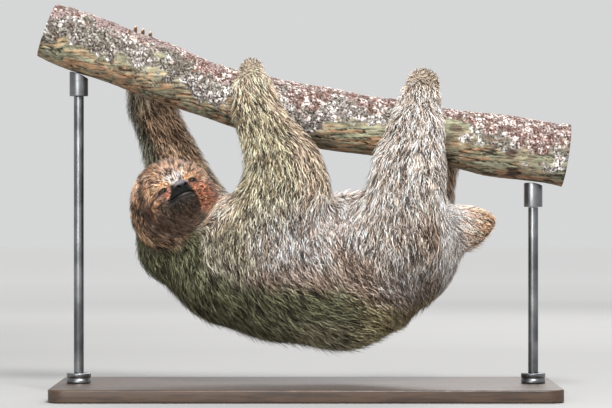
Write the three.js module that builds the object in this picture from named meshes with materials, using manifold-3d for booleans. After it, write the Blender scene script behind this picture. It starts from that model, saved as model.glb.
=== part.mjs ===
// A life-size three-toed sloth hanging under a cut length of branch, on a plain museum stand.
//
// Millimetres, +Z up. The origin is the centre of the base plate's underside, +X runs along the branch
// from the sloth's head end to its tail end, and the sloth's right side faces -Y.
//
// The flesh is one smooth field: rounded chains for the trunk, neck, tail and limbs, melted together where
// they join, and a head of ellipsoids. The field is meshed by surface nets, out to the tips of the coat,
// and then parted by flat cuts into the nodes that a person would name.
import * as THREE from "three";
import { mergeVertices } from "three/addons/utils/BufferGeometryUtils.js";
import Module from "manifold-3d";

const wasm = await Module();
wasm.setup();

// ---- driving dimensions ----------------------------------------------------------------------------
const GAP = 0.4; // air between neighbouring solids
const FOOT_CLEARANCE = 2; // air between the two feet
const TRUNK_STEP = 28.5; // mesh sizes: each vertex itself lies on the true surface
const TAIL_STEP = 15;
const LIMB_STEP = 24.3;
const HAND_STEP = 15.5;
const HEAD_STEP = 13.3;
const MUZZLE_STEP = 6.5;
const FAR_AWAY = 900; // longer than anything in the model

const BASE = { length: 700, depth: 300, thickness: 18, corner: 24, bevel: 2.5 };
const ROD = { x: 318, radius: 7, collar: 17, collarHeight: 14, cradle: 13, cradleHeight: 34, sides: 12 };

const BRANCH = { left: -362, right: 364, radius: 42.5, sides: 14, rings: 20 };
const BEND = { at: -70, width: 35, height: 392.3, slope: 0.155, extraSlope: 0.22 };

const CLAW = { length: 64, root: 4.6, tip: 0.7, spread: 10.5, sides: 5, rings: 6 };
const HIND_CLAW = { ...CLAW, length: 56, root: 4.3, spread: 10 };
const EYE_RADIUS = 6.2;

// ---- the branch's own line ---------------------------------------------------------------------------
// Height of the branch's axis: one slope to the right, a steeper one to the left, eased at the bend.
const sigmoid = (t) => 1 / (1 + Math.exp(-t));
const easedLeft = (x) => BEND.width * Math.log(1 + Math.exp((BEND.at - x) / BEND.width));
const branchHeight = (x) => BEND.height - BEND.slope * x + BEND.extraSlope * easedLeft(x);
const branchSlope = (x) => -BEND.slope - BEND.extraSlope * sigmoid((BEND.at - x) / BEND.width);
const branchSwell = (x) => 1.6 * Math.sin(x / 47 + 1.1) + 0.8 * Math.sin(x / 19);
const branchRadius = (x) => BRANCH.radius + 0.004 * x + branchSwell(x);

// A point at angle phi (degrees) round the branch: 0 is level with the axis, on side -1 (near, -Y) or
// 1 (far, +Y), 90 is on top and 180 is level again on the other side. Distance is from the axis.
function roundBranch(x, phi, distance, side) {
  const along = new THREE.Vector3(1, 0, branchSlope(x)).normalize();
  const up = new THREE.Vector3(-along.z, 0, along.x);
  const angle = THREE.MathUtils.degToRad(phi);
  return new THREE.Vector3(x, 0, branchHeight(x))
    .addScaledVector(new THREE.Vector3(0, side, 0), distance * Math.cos(angle))
    .addScaledVector(up, distance * Math.sin(angle));
}

// A link of a chain that lies round the branch.
const linkRoundBranch = (x, phi, distance, radius, side) => {
  const p = roundBranch(x, phi, distance, side);
  return [p.x, p.y, p.z, radius];
};

// ---- the sloth's lines: each link is x, y, z and the coat's radius there -------------------------------
const NEAR = -1;
const FAR = 1;
const TRUNK = {
  flat: 1.14,
  links: [
    [-180, 2, 212, 60], [-106, 0, 191, 93], [-36, 0, 178, 102],
    [50, 0, 168, 104], [84, 0, 176, 92], [140, 0, 196, 74],
  ],
};
const BELLY = { flat: 1, links: [[10, 0, 200, 68], [72, 0, 224, 66]] };
const TAIL = { flat: 1.1, links: [[186, 0, 230, 40], [220, 0, 236, 32], [240, 0, 242, 22], [256, 0, 246, 11]] };
const NECK = { flat: 1, links: [[-140, 0, 214, 58], [-172, -12, 246, 50]] };
const RIGHT_ARM = {
  flat: 1.3,
  links: [
    [-60, -56, 226, 66], [-27, -66, 288, 62], [-31, -72, 322, 54], [-67, -70, 396, 36], [-73, -64, 428, 29],
    linkRoundBranch(-88, 60, 51, 18, NEAR), linkRoundBranch(-87, 86, 44, 14.5, NEAR),
  ],
};
const RIGHT_LEG = {
  flat: 1.3,
  links: [
    [134, -56, 228, 68], [142, -74, 322, 52], [152, -73, 372, 40], [157, -60, 410, 30],
    [163, -22, 435, 25], [170, 14, 431, 20],
  ],
};
const LEFT_ARM = {
  flat: 1.2,
  links: [
    [-142, 52, 236, 54], [-190, 70, 332, 41], [-217, 68, 408, 32],
    linkRoundBranch(-244, 2, 59, 22, FAR), linkRoundBranch(-245, 34, 51, 14, FAR),
  ],
};
const LEFT_LEG = {
  flat: 1.2,
  links: [
    [146, 50, 230, 66], [174, 72, 322, 40], [164, 70, 372, 30],
    linkRoundBranch(143, 36, 58, 21, FAR), linkRoundBranch(141, 62, 50, 15, FAR),
  ],
};
const LIMB_BLEND = 34; // how far a limb melts into the trunk
const TAIL_BLEND = 26;
const BELLY_BLEND = 30;
const NECK_BLEND = 20;

// ---- the head: its own axes and the sizes of its masses ------------------------------------------------
const HEAD_CENTRE = new THREE.Vector3(-182.5, -26, 272.5);
const FACING = new THREE.Vector3(0.19, -0.91, 0.36).normalize();
const CROWN = new THREE.Vector3(-0.44, 0.25, 0.9).projectOnPlane(FACING).normalize();
const CHEEK = new THREE.Vector3().crossVectors(CROWN, FACING).normalize(); // towards the sloth's left cheek
const SKULL = { sideways: 60, forward: 48, upward: 61 };
const MUZZLE_CUT = 49; // the muzzle is what lies further forward than this
const MUZZLE_REACH = 55; // half the side of a box round the muzzle
const EYE = { sideways: 22, forward: 41.5, upward: 6 };

const headPoint = (sideways, forward, upward) =>
  HEAD_CENTRE.clone()
    .addScaledVector(CHEEK, sideways)
    .addScaledVector(FACING, forward)
    .addScaledVector(CROWN, upward);
const eyeCentre = (side) => headPoint(side * EYE.sideways, EYE.forward, EYE.upward);

// ---- fields: distance to a surface, negative inside ----------------------------------------------------
function smoothMin(a, b, k) {
  const h = Math.max(k - Math.abs(a - b), 0) / k;
  return Math.min(a, b) - (h * h * k) / 4;
}

// Distance to a chain of rounded cones. flat squeezes the section along Y.
function chainField({ links, flat }) {
  return (x, y, z) => {
    let nearest = Infinity;
    for (let i = 0; i + 1 < links.length; i++) {
      const [ax, ay, az, ar] = links[i];
      const [bx, by, bz, br] = links[i + 1];
      const [dx, dy, dz] = [bx - ax, by - ay, bz - az];
      const t0 = ((x - ax) * dx + (y - ay) * dy + (z - az) * dz) / (dx * dx + dy * dy + dz * dz);
      const t = Math.min(Math.max(t0, 0), 1);
      const across = Math.hypot(x - ax - t * dx, (y - ay - t * dy) * flat, z - az - t * dz);
      nearest = smoothMin(nearest, across - (ar + t * (br - ar)), 9);
    }
    return nearest;
  };
}

// Distance to an ellipsoid in the head's axes, near enough to its surface.
function ellipsoid(centre, radii) {
  return (v, f, u) => {
    const [a, b, c] = [v - centre[0], f - centre[1], u - centre[2]];
    const k0 = Math.hypot(a / radii[0], b / radii[1], c / radii[2]);
    const k1 = Math.hypot(a / radii[0] ** 2, b / radii[1] ** 2, c / radii[2] ** 2);
    return (k0 * (k0 - 1)) / Math.max(k1, 1e-9);
  };
}

const skull = ellipsoid([0, 0, 0], [SKULL.sideways, SKULL.forward, SKULL.upward]);
const ruff = ellipsoid([-20, -8, -14], [46, 42, 46]); // the long hair on its right cheek
const snout = ellipsoid([0, 40, -4], [17, 23, 14]);
const nosePad = ellipsoid([0, 59.5, 2], [10.5, 6.5, 7]);
const chin = ellipsoid([0, 39, -18], [20, 18, 14]);

function headField(x, y, z) {
  const p = new THREE.Vector3(x, y, z).sub(HEAD_CENTRE);
  const [v, f, u] = [p.dot(CHEEK), p.dot(FACING), p.dot(CROWN)];
  let d = smoothMin(smoothMin(skull(v, f, u), ruff(v, f, u), 12), snout(v, f, u), 8);
  d = smoothMin(d, chin(v, f, u), 12);
  d = smoothMin(d, nosePad(v, f, u), 5);
  const socket = Math.hypot(Math.abs(v) - EYE.sideways - 1, f - EYE.forward - 8, u - EYE.upward) - 6.5;
  return -smoothMin(-d, socket, 5);
}

const back = chainField(TRUNK);
const belly = chainField(BELLY);
const trunk = (x, y, z) => smoothMin(back(x, y, z), belly(x, y, z), BELLY_BLEND);
const tail = chainField(TAIL);
const neck = chainField(NECK);
const trunkAndTail = (x, y, z) => smoothMin(trunk(x, y, z), tail(x, y, z), TAIL_BLEND);
const core = (x, y, z) => smoothMin(trunkAndTail(x, y, z), neck(x, y, z), NECK_BLEND);
const limbs = { RIGHT_ARM, LEFT_ARM, RIGHT_LEG, LEFT_LEG };
const withLimb = Object.fromEntries(
  Object.entries(limbs).map(([name, limb]) => {
    const chain = chainField(limb);
    return [name, (x, y, z) => smoothMin(core(x, y, z), chain(x, y, z), LIMB_BLEND)];
  }),
);
// The body with the stumps of all four limbs, which end level above the shoulder and hip cuts.
const STUMP_TOP = 312;
const bodyWithStumps = (x, y, z) => {
  const fields = Object.values(withLimb).map((field) => field(x, y, z));
  return Math.max(z - STUMP_TOP, Math.min(...fields));
};

// ---- surface nets: one vertex in each cell that the surface crosses ------------------------------------
function surfaceNet(field, low, high, step, level = 0) {
  const size = low.map((v, i) => Math.ceil((high[i] - v) / step) + 1);
  const at = (i, j, k) => (i * size[1] + j) * size[2] + k;
  const value = new Float32Array(size[0] * size[1] * size[2]);
  for (let i = 0; i < size[0]; i++)
    for (let j = 0; j < size[1]; j++)
      for (let k = 0; k < size[2]; k++)
        value[at(i, j, k)] = field(low[0] + i * step, low[1] + j * step, low[2] + k * step) - level;

  const vertexOf = new Map();
  const positions = [];
  const corners = [];
  for (let n = 0; n < 8; n++) corners.push([n & 1, (n >> 1) & 1, (n >> 2) & 1]);
  for (let i = 0; i + 1 < size[0]; i++)
    for (let j = 0; j + 1 < size[1]; j++)
      for (let k = 0; k + 1 < size[2]; k++) {
        const values = corners.map(([a, b, c]) => value[at(i + a, j + b, k + c)]);
        const inside = values.filter((v) => v < 0).length;
        if (inside === 0 || inside === 8) continue;
        const sum = new THREE.Vector3();
        let crossings = 0;
        for (let m = 0; m < 8; m++)
          for (const bit of [1, 2, 4]) {
            const n = m | bit;
            if (n === m || values[m] < 0 === values[n] < 0) continue;
            const t = values[m] / (values[m] - values[n]);
            const [a, b] = [corners[m], corners[n]];
            sum.add(new THREE.Vector3(...a.map((c, axis) => c + t * (b[axis] - c))));
            crossings++;
          }
        sum.divideScalar(crossings);
        const p = sum.add(new THREE.Vector3(i, j, k)).multiplyScalar(step).add(new THREE.Vector3(...low));
        vertexOf.set(at(i, j, k), positions.length / 3);
        positions.push(...settle(p, field, level, step).toArray());
      }

  // Each grid edge that the surface crosses gives one four-sided face from the four cells round it.
  const triangles = [];
  const steps = [[1, 0, 0], [0, 1, 0], [0, 0, 1]];
  for (let i = 1; i + 1 < size[0]; i++)
    for (let j = 1; j + 1 < size[1]; j++)
      for (let k = 1; k + 1 < size[2]; k++)
        for (let axis = 0; axis < 3; axis++) {
          const [di, dj, dk] = steps[axis];
          const here = value[at(i, j, k)] < 0;
          if (here === value[at(i + di, j + dj, k + dk)] < 0) continue;
          const [u, w] = [steps[(axis + 1) % 3], steps[(axis + 2) % 3]];
          const back = (n, a, b, axis2) => n - a * u[axis2] - b * w[axis2];
          const cell = (a, b) => vertexOf.get(at(back(i, a, b, 0), back(j, a, b, 1), back(k, a, b, 2)));
          const ring = [cell(0, 0), cell(1, 0), cell(1, 1), cell(0, 1)];
          if (!here) ring.reverse();
          triangles.push(ring[0], ring[1], ring[2], ring[0], ring[2], ring[3]);
        }
  return new THREE.BufferGeometry()
    .setAttribute("position", new THREE.Float32BufferAttribute(positions, 3))
    .setIndex(triangles);
}

// Moves a point down the field's slope onto the surface, by no more than half a cell.
function settle(start, field, level, step) {
  const p = start.clone();
  const e = 0.5;
  for (let round = 0; round < 3; round++) {
    const f = (dx, dy, dz) => field(p.x + dx, p.y + dy, p.z + dz) - level;
    const rise = [f(e, 0, 0) - f(-e, 0, 0), f(0, e, 0) - f(0, -e, 0), f(0, 0, e) - f(0, 0, -e)];
    const slope = new THREE.Vector3(...rise).divideScalar(2 * e);
    p.addScaledVector(slope, -f(0, 0, 0) / Math.max(slope.lengthSq(), 0.25));
  }
  return p.sub(start).clampLength(0, step / 2).add(start);
}

// ---- solids ---------------------------------------------------------------------------------------------
function solidOf(geometry, matrix) {
  const bare = geometry.index ? geometry.toNonIndexed() : geometry.clone();
  for (const name of Object.keys(bare.attributes)) if (name !== "position") bare.deleteAttribute(name);
  if (matrix) bare.applyMatrix4(matrix);
  const merged = mergeVertices(bare, 1e-4);
  return new wasm.Manifold(
    new wasm.Mesh({
      numProp: 3,
      vertProperties: new Float32Array(merged.attributes.position.array),
      triVerts: new Uint32Array(merged.index.array),
    }),
  );
}

// The solid inside a field, closed by flat walls a little inside the box from low to high. A cell that two
// sheets of the surface cross can leave a net that isn't closed, so the grid is nudged until it is.
function fieldSolid(field, low, high, step, level = 0) {
  const wall = 1.8 * step;
  const boxed = (x, y, z) => {
    const outside = [x, y, z].map((c, i) => Math.max(low[i] + wall - c, c - high[i] + wall));
    return Math.max(field(x, y, z), ...outside);
  };
  for (const nudge of [0, 0.3, 0.6, 0.15, 0.45, 0.75]) {
    try {
      return solidOf(surfaceNet(boxed, low.map((v) => v - nudge * step), high, step, level));
    } catch (error) {
      if (error.code !== "NotManifold") throw error;
    }
  }
  throw new Error("no nudge of the grid closes the net");
}

// Everything on the side of a plane that its normal points to.
function beyond(point, normal, shift = 0) {
  const n = new THREE.Vector3(...normal).normalize();
  const turn = new THREE.Quaternion().setFromUnitVectors(new THREE.Vector3(0, 0, 1), n);
  const centre = new THREE.Vector3(...point).addScaledVector(n, shift + FAR_AWAY / 2);
  const place = new THREE.Matrix4().compose(centre, turn, new THREE.Vector3(1, 1, 1));
  return solidOf(new THREE.BoxGeometry(FAR_AWAY, FAR_AWAY, FAR_AWAY), place);
}

// A closed tube of round sections along points, each with its own radius.
function taperedTube(points, radii, sides, reference) {
  const positions = [];
  const triangles = [];
  points.forEach((point, i) => {
    const [before, after] = [points[Math.max(i - 1, 0)], points[Math.min(i + 1, points.length - 1)]];
    const along = after.clone().sub(before).normalize();
    const a = new THREE.Vector3().crossVectors(reference, along).normalize();
    const b = new THREE.Vector3().crossVectors(along, a);
    for (let s = 0; s < sides; s++) {
      const angle = (2 * Math.PI * s) / sides;
      const r = radii(i, angle);
      const p = point.clone().addScaledVector(a, r * Math.cos(angle));
      p.addScaledVector(b, r * Math.sin(angle));
      positions.push(p.x, p.y, p.z);
    }
  });
  const last = (points.length - 1) * sides;
  const centres = [points[0], points[points.length - 1]].map((p) => positions.push(...p.toArray()) / 3 - 1);
  for (let s = 0; s < sides; s++) {
    const next = (s + 1) % sides;
    triangles.push(centres[0], next, s, centres[1], last + s, last + next);
    for (let i = 0; i + 1 < points.length; i++) {
      const [p, q] = [i * sides, (i + 1) * sides];
      triangles.push(p + s, p + next, q + s, p + next, q + next, q + s);
    }
  }
  return new THREE.BufferGeometry()
    .setAttribute("position", new THREE.Float32BufferAttribute(positions, 3))
    .setIndex(triangles);
}

const largest = (solid) => solid.decompose().reduce((a, b) => (b.volume() > a.volume() ? b : a));

// ---- materials and the model's group --------------------------------------------------------------------
const finish = (color, roughness, metalness = 0) => new THREE.MeshStandardMaterial({ color, roughness, metalness });
const COAT = finish(0x8f8368, 0.95);
const FACE = finish(0x9a6a45, 0.9);
const MUZZLE = finish(0x2b2526, 0.6);
const CLAW_HORN = finish(0xa98a5c, 0.45);
const EYE_DARK = finish(0x120c0a, 0.1);
const BARK = finish(0x8e8878, 0.9);
const BASE_WOOD = finish(0x2a211c, 0.5);
const STEEL = finish(0x6d6f72, 0.35, 1);

const sloth = new THREE.Group();

function addMesh(name, solid, material) {
  const mesh = solid.getMesh();
  const geometry = new THREE.BufferGeometry()
    .setAttribute("position", new THREE.Float32BufferAttribute(mesh.vertProperties, mesh.numProp))
    .setIndex([...mesh.triVerts]);
  geometry.computeVertexNormals();
  const made = new THREE.Mesh(geometry, material);
  made.name = name;
  sloth.add(made);
}

// ---- the branch and its stand ---------------------------------------------------------------------------
// The branch is a knobbly tube with sawn ends; grow makes the slightly fatter copy that cuts its neighbours.
function branchSolid(grow) {
  const ring = (BRANCH.right - BRANCH.left) / BRANCH.rings;
  const xs = Array.from({ length: BRANCH.rings + 1 }, (_, i) => BRANCH.left + ring * i);
  const ends = (i) => (i === 0 ? -grow : i === BRANCH.rings ? grow : 0);
  const points = xs.map((x, i) => new THREE.Vector3(x + ends(i), 0, branchHeight(x + ends(i))));
  const knobs = (x, angle) => 0.7 * Math.sin(3 * angle + x / 31) + 0.6 * Math.sin(2 * angle - x / 23);
  const radii = (i, angle) => branchRadius(xs[i]) + knobs(xs[i], angle) + grow;
  return solidOf(taperedTube(points, radii, BRANCH.sides, new THREE.Vector3(0, 1, 0)));
}
const branch = branchSolid(0);
const branchRoom = branchSolid(GAP);

function standUprights() {
  for (const [name, x] of [["left", -ROD.x], ["right", ROD.x]]) {
    const upright = (radius, low, high) => {
      const at = new THREE.Matrix4().makeRotationX(Math.PI / 2).setPosition(x, 0, (low + high) / 2);
      return solidOf(new THREE.CylinderGeometry(radius, radius, high - low, ROD.sides), at);
    };
    const floor = BASE.thickness + GAP;
    const under = branchHeight(x) - branchRadius(x);
    const cradleLow = under - ROD.cradleHeight;
    const rodRoom = upright(ROD.radius + GAP, 0, cradleLow + GAP);
    addMesh(`stand_collar_${name}`, upright(ROD.collar, floor, floor + ROD.collarHeight).subtract(rodRoom), STEEL);
    addMesh(`stand_rod_${name}`, upright(ROD.radius, floor, cradleLow), STEEL);
    const cradle = upright(ROD.cradle, cradleLow + GAP, under + ROD.cradle).subtract(branchRoom);
    addMesh(`stand_cradle_${name}`, largest(cradle), STEEL);
  }
}

function standBase() {
  const { length, depth, thickness, corner, bevel } = BASE;
  const [x, y] = [length / 2 - corner, depth / 2 - corner];
  const outline = new THREE.Shape();
  const inset = corner - bevel;
  outline.absarc(x, y, inset, 0, Math.PI / 2);
  outline.absarc(-x, y, inset, Math.PI / 2, Math.PI);
  outline.absarc(-x, -y, inset, Math.PI, 1.5 * Math.PI);
  outline.absarc(x, -y, inset, 1.5 * Math.PI, 2 * Math.PI);
  outline.closePath();
  const plate = new THREE.ExtrudeGeometry(outline, {
    depth: thickness - 2 * bevel, bevelSize: bevel, bevelThickness: bevel, bevelSegments: 1, curveSegments: 4,
  });
  addMesh("stand_base", solidOf(plate, new THREE.Matrix4().makeTranslation(0, 0, bevel)), BASE_WOOD);
}

// Moves a line's two end points outwards.
function lengthen(points, by) {
  const last = points.length - 1;
  for (const [end, next] of [[0, 1], [last, last - 1]])
    points[end].addScaledVector(points[end].clone().sub(points[next]).normalize(), by);
}

// ---- claws: tapering hooks that follow the branch ------------------------------------------------------
// A claw starts at angle from, at distance start from the branch's axis, and curls down to the bark.
function clawSolid(hand, index, grow) {
  const { size, x, from, start, side, turn } = hand;
  const spread = (index - 1) * size.spread;
  const points = [];
  for (let i = 0; i <= size.rings; i++) {
    const t = i / size.rings;
    const radius = size.root + (size.tip - size.root) * t ** 1.4;
    const rest = branchRadius(x) + 2.6 + radius;
    const distance = rest + Math.max(start - rest, 0) * (1 - t) ** 1.6;
    const sweep = THREE.MathUtils.radToDeg(size.length / (0.5 * (rest + Math.max(start, rest))));
    points.push(roundBranch(x + spread + turn * t, from + sweep * t, distance, side));
  }
  lengthen(points, grow);
  const radii = (i) => size.root + (size.tip - size.root) * (i / size.rings) ** 1.4 + grow;
  return solidOf(taperedTube(points, radii, size.sides, new THREE.Vector3(1, 0, 0)));
}

const HANDS = {
  hand_right: { size: CLAW, x: -88, from: 80, start: 46, side: NEAR, turn: 0 },
  hand_left: { size: CLAW, x: -245, from: 26, start: 51, side: FAR, turn: 0 },
  foot_right: { size: HIND_CLAW, x: 164, from: 103, start: 64, side: NEAR, turn: 10 },
  foot_left: { size: HIND_CLAW, x: 141, from: 56, start: 50, side: FAR, turn: 0 },
};
const CLAW_NAMES = ["inner", "middle", "outer"];
const clawsOf = (name, grow) => CLAW_NAMES.map((_, index) => clawSolid(HANDS[name], index, grow));

// ---- limbs: parted by planes at the shoulder or hip, the elbow or knee, and the wrist or ankle ----------
const LIMB_CUTS = {
  RIGHT_ARM: {
    names: ["upper_arm_right", "forearm_right", "hand_right"],
    cuts: [
      [[-52, -52, 262], [-0.15, -0.5, 0.85]],
      [[-38, -72, 324], [-0.05, 0, 1]],
      [[-70, -66, 414], [-0.1, 0.2, 1]],
    ],
    low: [-190, -190, 130],
    high: [110, 70, 510],
  },
  LEFT_ARM: {
    names: ["upper_arm_left", "forearm_left", "hand_left"],
    cuts: [
      [[-136, 50, 262], [-0.3, 0.45, 0.84]],
      [[-184, 70, 331], [-0.45, 0, 0.9]],
      [[-218, 68, 412], [-0.3, 0, 1]],
    ],
    low: [-330, -70, 130],
    high: [0, 190, 550],
  },
  RIGHT_LEG: {
    names: ["thigh_right", "shin_right", "foot_right"],
    cuts: [
      [[138, -54, 272], [0.12, -0.5, 0.85]],
      [[143, -74, 326], [0.08, 0, 1]],
      [[157, -62, 404], [0.1, 0.3, 1]],
    ],
    low: [0, -190, 130],
    high: [310, 90, 510],
  },
  LEFT_LEG: {
    names: ["thigh_left", "shin_left", "foot_left"],
    cuts: [
      [[154, 54, 264], [0.1, 0.5, 0.86]],
      [[174, 72, 324], [0, 0, 1]],
      [[164, 70, 374], [-0.15, 0, 1]],
    ],
    low: [20, -80, 130],
    high: [290, 160, 500],
  },
};

const NECK_CUT = [[-166, -6, 244], [-0.35, -0.72, 0.6]];
const HEAD_REACH = 84; // half the side of a box round the head
function headSolid(level) {
  const low = HEAD_CENTRE.clone().subScalar(HEAD_REACH).toArray();
  const high = HEAD_CENTRE.clone().addScalar(HEAD_REACH).toArray();
  return fieldSolid(headField, low, high, HEAD_STEP, level);
}
const headRoom = headSolid(2 * GAP).intersect(beyond(...NECK_CUT, -GAP));

const cutAway = (solid, rooms) => largest(rooms.reduce((rest, room) => rest.subtract(room), solid));

function limbSolid(limbName, step, level) {
  const { low, high } = LIMB_CUTS[limbName];
  return fieldSolid(withLimb[limbName], low, high, step, level);
}

function limbPieces(limbName) {
  const { names, cuts } = LIMB_CUTS[limbName];
  return names.map((name, i) => {
    const isHand = i === names.length - 1;
    const rooms = [branchRoom, headRoom, ...clawsOf(names[2], 2 * GAP)];
    if (!isHand) rooms.push(beyond(...cuts[i + 1], -GAP));
    const limb = limbSolid(limbName, isHand ? HAND_STEP : LIMB_STEP, 0);
    return [name, cutAway(limb.intersect(beyond(...cuts[i])), rooms)];
  });
}

function addLimbs() {
  const pieces = Object.fromEntries(Object.keys(LIMB_CUTS).flatMap(limbPieces));
  // The right foot grips over the left one, so the left foot gives way to it.
  const footCut = LIMB_CUTS.RIGHT_LEG.cuts[2];
  const footRoom = limbSolid("RIGHT_LEG", HAND_STEP, FOOT_CLEARANCE).intersect(beyond(...footCut, -GAP));
  pieces.foot_left = cutAway(pieces.foot_left, [footRoom, ...clawsOf("foot_right", 4 * GAP)]);
  pieces.foot_right = cutAway(pieces.foot_right, clawsOf("foot_left", 4 * GAP));
  for (const [name, solid] of Object.entries(pieces)) addMesh(name, solid, COAT);
}

function addClaws() {
  for (const name of Object.keys(HANDS))
    clawsOf(name, 0).forEach((claw, i) => addMesh(`claw_${name}_${CLAW_NAMES[i]}`, claw, CLAW_HORN));
}

// ---- trunk, neck and tail -----------------------------------------------------------------------------
const TAIL_CUT = [[200, 0, 232], [0.96, 0, 0.28]];
function addTrunk() {
  let rest = fieldSolid(bodyWithStumps, [-290, -170, 20], [330, 170, 380], TRUNK_STEP).subtract(headRoom);
  for (const { cuts } of Object.values(LIMB_CUTS)) rest = rest.subtract(beyond(...cuts[0], -GAP));
  const sections = [
    ["rump", [[96, 0, 180], [1, 0, 0.1]]],
    ["belly", [[-38, 0, 180], [1, 0, 0]]],
    ["chest", [[-150, 0, 222], [0.62, 0.35, -0.7]]],
  ];
  const tailEnd = fieldSolid(core, [130, -100, 110], [310, 100, 340], TAIL_STEP);
  addMesh("tail", tailEnd.intersect(beyond(...TAIL_CUT)), COAT);
  rest = rest.subtract(beyond(...TAIL_CUT, -GAP));
  for (const [name, cut] of sections) {
    addMesh(name, largest(rest.intersect(beyond(...cut))), COAT);
    rest = rest.subtract(beyond(...cut, -GAP));
  }
  addMesh("neck", largest(rest), COAT);
}

// ---- head, muzzle and eyes ----------------------------------------------------------------------------
function addHead() {
  const eye = (side, grow) => {
    const at = new THREE.Matrix4().setPosition(eyeCentre(side));
    return solidOf(new THREE.IcosahedronGeometry(EYE_RADIUS + grow, 1), at);
  };
  let head = headSolid(0).intersect(beyond(...NECK_CUT));
  for (const side of [-1, 1]) head = head.subtract(eye(side, GAP));
  const muzzlePoint = headPoint(0, MUZZLE_CUT, -8).toArray();
  const muzzleRegion = (shift) => beyond(muzzlePoint, FACING.toArray(), shift);
  const root = headPoint(0, MUZZLE_CUT, 0);
  const [low, high] = [-MUZZLE_REACH, MUZZLE_REACH].map((reach) => root.clone().addScalar(reach).toArray());
  const muzzleMass = fieldSolid(headField, low, high, MUZZLE_STEP);
  addMesh("muzzle", largest(muzzleMass.intersect(muzzleRegion(0))), MUZZLE);
  addMesh("head", largest(head.subtract(muzzleRegion(-GAP))), FACE);
  addMesh("eye_right", eye(-1, 0), EYE_DARK);
  addMesh("eye_left", eye(1, 0), EYE_DARK);
}

standBase();
standUprights();
addMesh("branch", branch, BARK);
addTrunk();
addHead();
addLimbs();
addClaws();

export default sloth;
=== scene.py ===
import bpy
import numpy as np
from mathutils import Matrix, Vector


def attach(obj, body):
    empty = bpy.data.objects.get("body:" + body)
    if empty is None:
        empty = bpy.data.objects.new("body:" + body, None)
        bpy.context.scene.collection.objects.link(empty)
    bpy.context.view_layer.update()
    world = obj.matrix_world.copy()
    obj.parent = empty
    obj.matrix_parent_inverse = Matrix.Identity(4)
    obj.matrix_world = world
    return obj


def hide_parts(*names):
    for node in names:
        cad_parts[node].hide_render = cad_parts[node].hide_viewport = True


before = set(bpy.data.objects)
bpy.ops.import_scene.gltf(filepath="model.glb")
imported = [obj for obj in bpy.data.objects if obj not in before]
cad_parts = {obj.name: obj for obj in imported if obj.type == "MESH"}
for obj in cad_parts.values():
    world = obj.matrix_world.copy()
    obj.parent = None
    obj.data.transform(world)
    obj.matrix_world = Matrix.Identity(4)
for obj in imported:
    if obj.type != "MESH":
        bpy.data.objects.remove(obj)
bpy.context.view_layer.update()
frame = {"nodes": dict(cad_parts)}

MM = 0.001
TURN = 2 * np.pi

# ---- the base ------------------------------------------------------------------------------------------
# One board of dark stained hardwood with its grain along the branch. Its corners are rounded, its edges
# are eased with a router, and it is oiled to a soft sheen. It lies flat on the floor and carries the rods.
BOARD_HALF = (350, 150)
BOARD_THICKNESS = 18
BOARD_CORNER = 24
BOARD_EASE = 2.5
FACE_INSETS = (60, 8)  # the rings that carry the flat faces in from the eased edge
BOARD_DARK = (0.016, 0.010, 0.007)
BOARD_LIGHT = (0.060, 0.034, 0.020)


def make_piece(name, points, *faces):
    """A mesh object of points in millimetres and arrays of faces, each array's rows having one length."""
    mesh = bpy.data.meshes.new(name)
    corners = np.concatenate([group.ravel() for group in faces]).astype(np.int32)
    sizes = np.concatenate([np.full(len(group), group.shape[1]) for group in faces])
    mesh.vertices.add(len(points))
    mesh.vertices.foreach_set("co", (points * MM).astype(np.float32).ravel())
    mesh.loops.add(len(corners))
    mesh.loops.foreach_set("vertex_index", corners)
    mesh.polygons.add(len(sizes))
    mesh.polygons.foreach_set("loop_start", (np.cumsum(sizes) - sizes).astype(np.int32))
    mesh.polygons.foreach_set("use_smooth", np.ones(len(sizes), bool))
    mesh.update(calc_edges=True)
    piece = bpy.data.objects.new(name, mesh)
    bpy.context.scene.collection.objects.link(piece)
    return piece


def tube_wall(count, sides):
    """Faces that join each of count rings to the next, side by side."""
    ring, side = np.meshgrid(np.arange(count - 1) * sides, np.arange(sides), indexing="ij")
    here, beside = ring + side, ring + (side + 1) % sides
    return np.stack([here, beside, beside + sides, here + sides], -1).reshape(-1, 4)


def closed_tube(rings):
    """Points and faces of a tube through rings[ring, side], turning left about the way it goes, with a fan
    to the middle of its first and last ring."""
    count, sides, _ = rings.shape
    poles = np.stack([rings[0].mean(0), rings[-1].mean(0)])
    k, n = np.arange(sides), (np.arange(sides) + 1) % sides
    last, pole = (count - 1) * sides, count * sides
    fans = np.concatenate([
        np.stack([np.full(sides, pole), n, k], -1),
        np.stack([last + k, last + n, np.full(sides, pole + 1)], -1),
    ])
    return np.concatenate([rings.reshape(-1, 3), poles]), tube_wall(count, sides), fans


def full_turn(sides):
    """The angles of that many sides round a circle."""
    return np.linspace(0, TURN, sides, endpoint=False)


def new_finish(name, sockets):
    """A material whose Principled shader has these constant sockets. Returns it with its node tree."""
    material = bpy.data.materials.new(name)
    material.use_nodes = True
    shader = material.node_tree.nodes["Principled BSDF"]
    for socket, value in sockets.items():
        shader.inputs[socket].default_value = value
    return material, material.node_tree, shader


def wire(tree, kind, sockets, **settings):
    """A node of that kind, each socket given a value or joined to another node's output."""
    made = tree.nodes.new("ShaderNode" + kind)
    for key, value in settings.items():
        setattr(made, key, value)
    for key, value in sockets.items():
        if isinstance(value, bpy.types.NodeSocket):
            tree.links.new(value, made.inputs[key])
        else:
            made.inputs[key].default_value = value
    return made


def noise(tree, at, scale, detail=3.0, rough=0.55):
    """Noise of about scale repeats to the metre, from 0 to 1."""
    sockets = {"Vector": at, "Scale": scale, "Detail": detail, "Roughness": rough}
    return wire(tree, "TexNoise", sockets).outputs["Fac"]


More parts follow.
